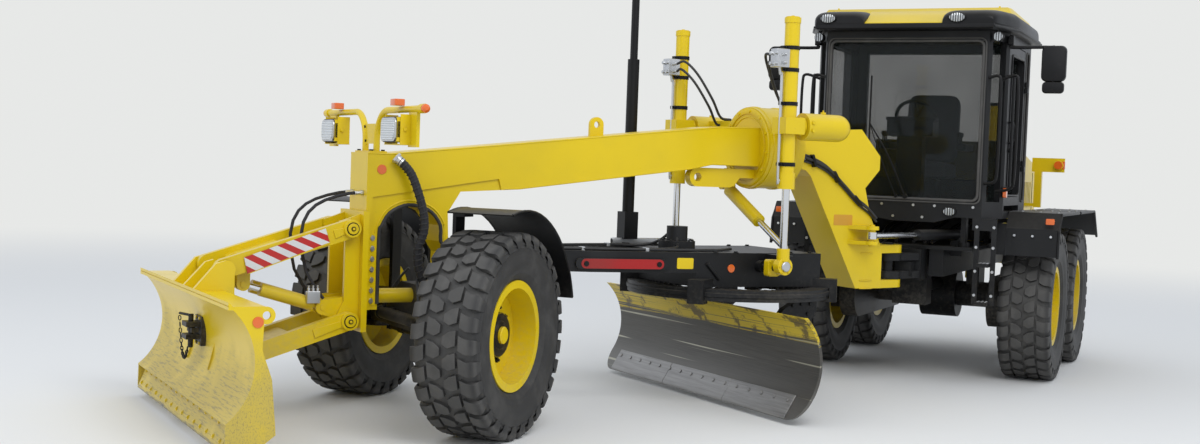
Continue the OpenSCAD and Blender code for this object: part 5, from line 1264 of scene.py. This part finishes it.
# Hoses of the neck: three black hoses clipped to its left side, and the crimped ferrules and
# nuts where these and the hoses of the head leave the frame.
neck_lines = []
neck_clips = []
route = [(1.10, 1.90), (0.95, 1.862), (0.80, 1.80), (0.64, 1.68), (0.498, 1.56), (0.38, 1.49),
         (0.30, 1.42)]
for shift, out in ((0.026, 0.183), (-0.028, 0.183), (0.0, 0.203)):
    neck_lines.append(pipe([(x + shift * 0.6, out, z + shift) for x, z in route], 0.0105, 6, 10))
for x, z, tilt in ((0.95, 1.862, 0.35), (0.72, 1.742, 0.6), (0.498, 1.56, 0.8)):
    clip = rounded((-0.012, 0.168, -0.05), (0.012, 0.217, 0.05), 0.006)
    neck_clips.append(tilted(clip, tilt, (x, 0, z)))
joined("neck_hoses", neck_lines, front, hose_rubber.material, "front_frame")
joined("neck_clips", neck_clips, front, black, "front_frame", 0.002)
fittings = []
for start, end, wide in (((4.416, 0.197, 1.765), (4.375, 0.219, 1.727), 0.031),
                         ((4.60, 0.1, 1.52), (4.66, 0.1, 1.516), 0.015),
                         ((4.60, -0.1, 1.52), (4.66, -0.1, 1.516), 0.015),
                         ((1.085, 0.1816, 1.905), (1.02, 0.1816, 1.881), 0.015),
                         ((0.38, 0.1816, 1.49), (0.43, 0.1816, 1.519), 0.015)):
    fittings.append(rod(start, end, wide, 20))
    fittings.append(rod(start, np.array(start) * 0.7 + np.array(end) * 0.3, wide * 1.25, 6))
joined("hose_fittings", fittings, front, silver.material, "front_frame", 0.001)

# Sleeve of the bundle at the head: a rubber cord wound round the hoses in a close spiral, from
# the top of the head down to the axle.
bundle = np.array([(4.410, 0.200, 1.759), (4.363, 0.225, 1.715), (4.316, 0.250, 1.650),
                   (4.265, 0.262, 1.518), (4.225, 0.260, 1.384), (4.217, 0.250, 1.269),
                   (4.245, 0.225, 1.166), (4.230, 0.190, 1.040), (4.170, 0.160, 0.914)])
coil_turns = 26
coil_r = 0.0285
share = np.linspace(0, 1, len(bundle))
t = np.linspace(0.03, 0.98, 560)
mid_line = np.stack([np.interp(t, share, bundle[:, i]) for i in range(3)], -1)
kernel = np.hanning(61)
kernel /= kernel.sum()
mid_line = np.stack([np.convolve(np.pad(mid_line[:, i], 30, "edge"), kernel, "valid")
                     for i in range(3)], -1)
way = np.gradient(mid_line, axis=0)
way /= np.linalg.norm(way, axis=1)[:, None]
first = np.cross(way, (1.0, 0.2, 0.0))
first /= np.linalg.norm(first, axis=1)[:, None]
second = np.cross(way, first)
phase = (t * 2 * math.pi * coil_turns)[:, None]
coil = pipe(mid_line + coil_r * (np.cos(phase) * first + np.sin(phase) * second), 0.0045, 1, 6)
joined("hose_sleeve", [coil], front, hose_rubber.material, "front_frame")

# The ground and the light: a plain pale floor that fades into the same pale backdrop, under
# a soft bright sky.
backdrop = (0.80, 0.81, 0.80)
ground = Finish("pale_floor", (0.74, 0.74, 0.73), Roughness=0.9)
away = ground.node("ShaderNodeVectorMath", 1, {"operation": "LENGTH"}, {0: ground.place})
glow = ground.node("ShaderNodeEmission", 0, None, {"Color": backdrop})
shade = ground.node("ShaderNodeMixShader", 0, None,
                    {0: ground.rise(away, 9, 24), 1: Wire(ground, ground.shader.outputs[0]), 2: glow})
ground.feed(ground.tree.nodes["Material Output"].inputs["Surface"], shade)
bpy.ops.mesh.primitive_plane_add(size=300, location=(0, 0, 0))
floor = bpy.context.object
floor.name = "floor"
floor.data.materials.append(ground.material)
scene = bpy.context.scene
scene.view_settings.view_transform = "Standard"
world = bpy.data.worlds.new("soft_sky")
scene.world = world
world.use_nodes = True
sky = world.node_tree
light_path = sky.nodes.new("ShaderNodeLightPath")
seen = sky.nodes.new("ShaderNodeMix")
seen.data_type = "RGBA"
seen.inputs[6].default_value = (0.80, 0.84, 0.90, 1)
seen.inputs[7].default_value = (*backdrop, 1)
sky.links.new(light_path.outputs["Is Camera Ray"], seen.inputs[0])
sky.links.new(seen.outputs[2], sky.nodes["Background"].inputs["Color"])
for name, spot, size, power in (("key", (7, 6, 9), 6, 520), ("fill", (9, -8, 6), 8, 160)):
    lamp_data = bpy.data.lights.new(name, "AREA")
    lamp_data.energy = power
    lamp_data.size = size
    lamp = bpy.data.objects.new(name, lamp_data)
    lamp.location = spot
    lamp.rotation_euler = (Vector((0, 0, 0.8)) - Vector(spot)).to_track_quat("-Z", "Y").to_euler()
    scene.collection.objects.link(lamp)
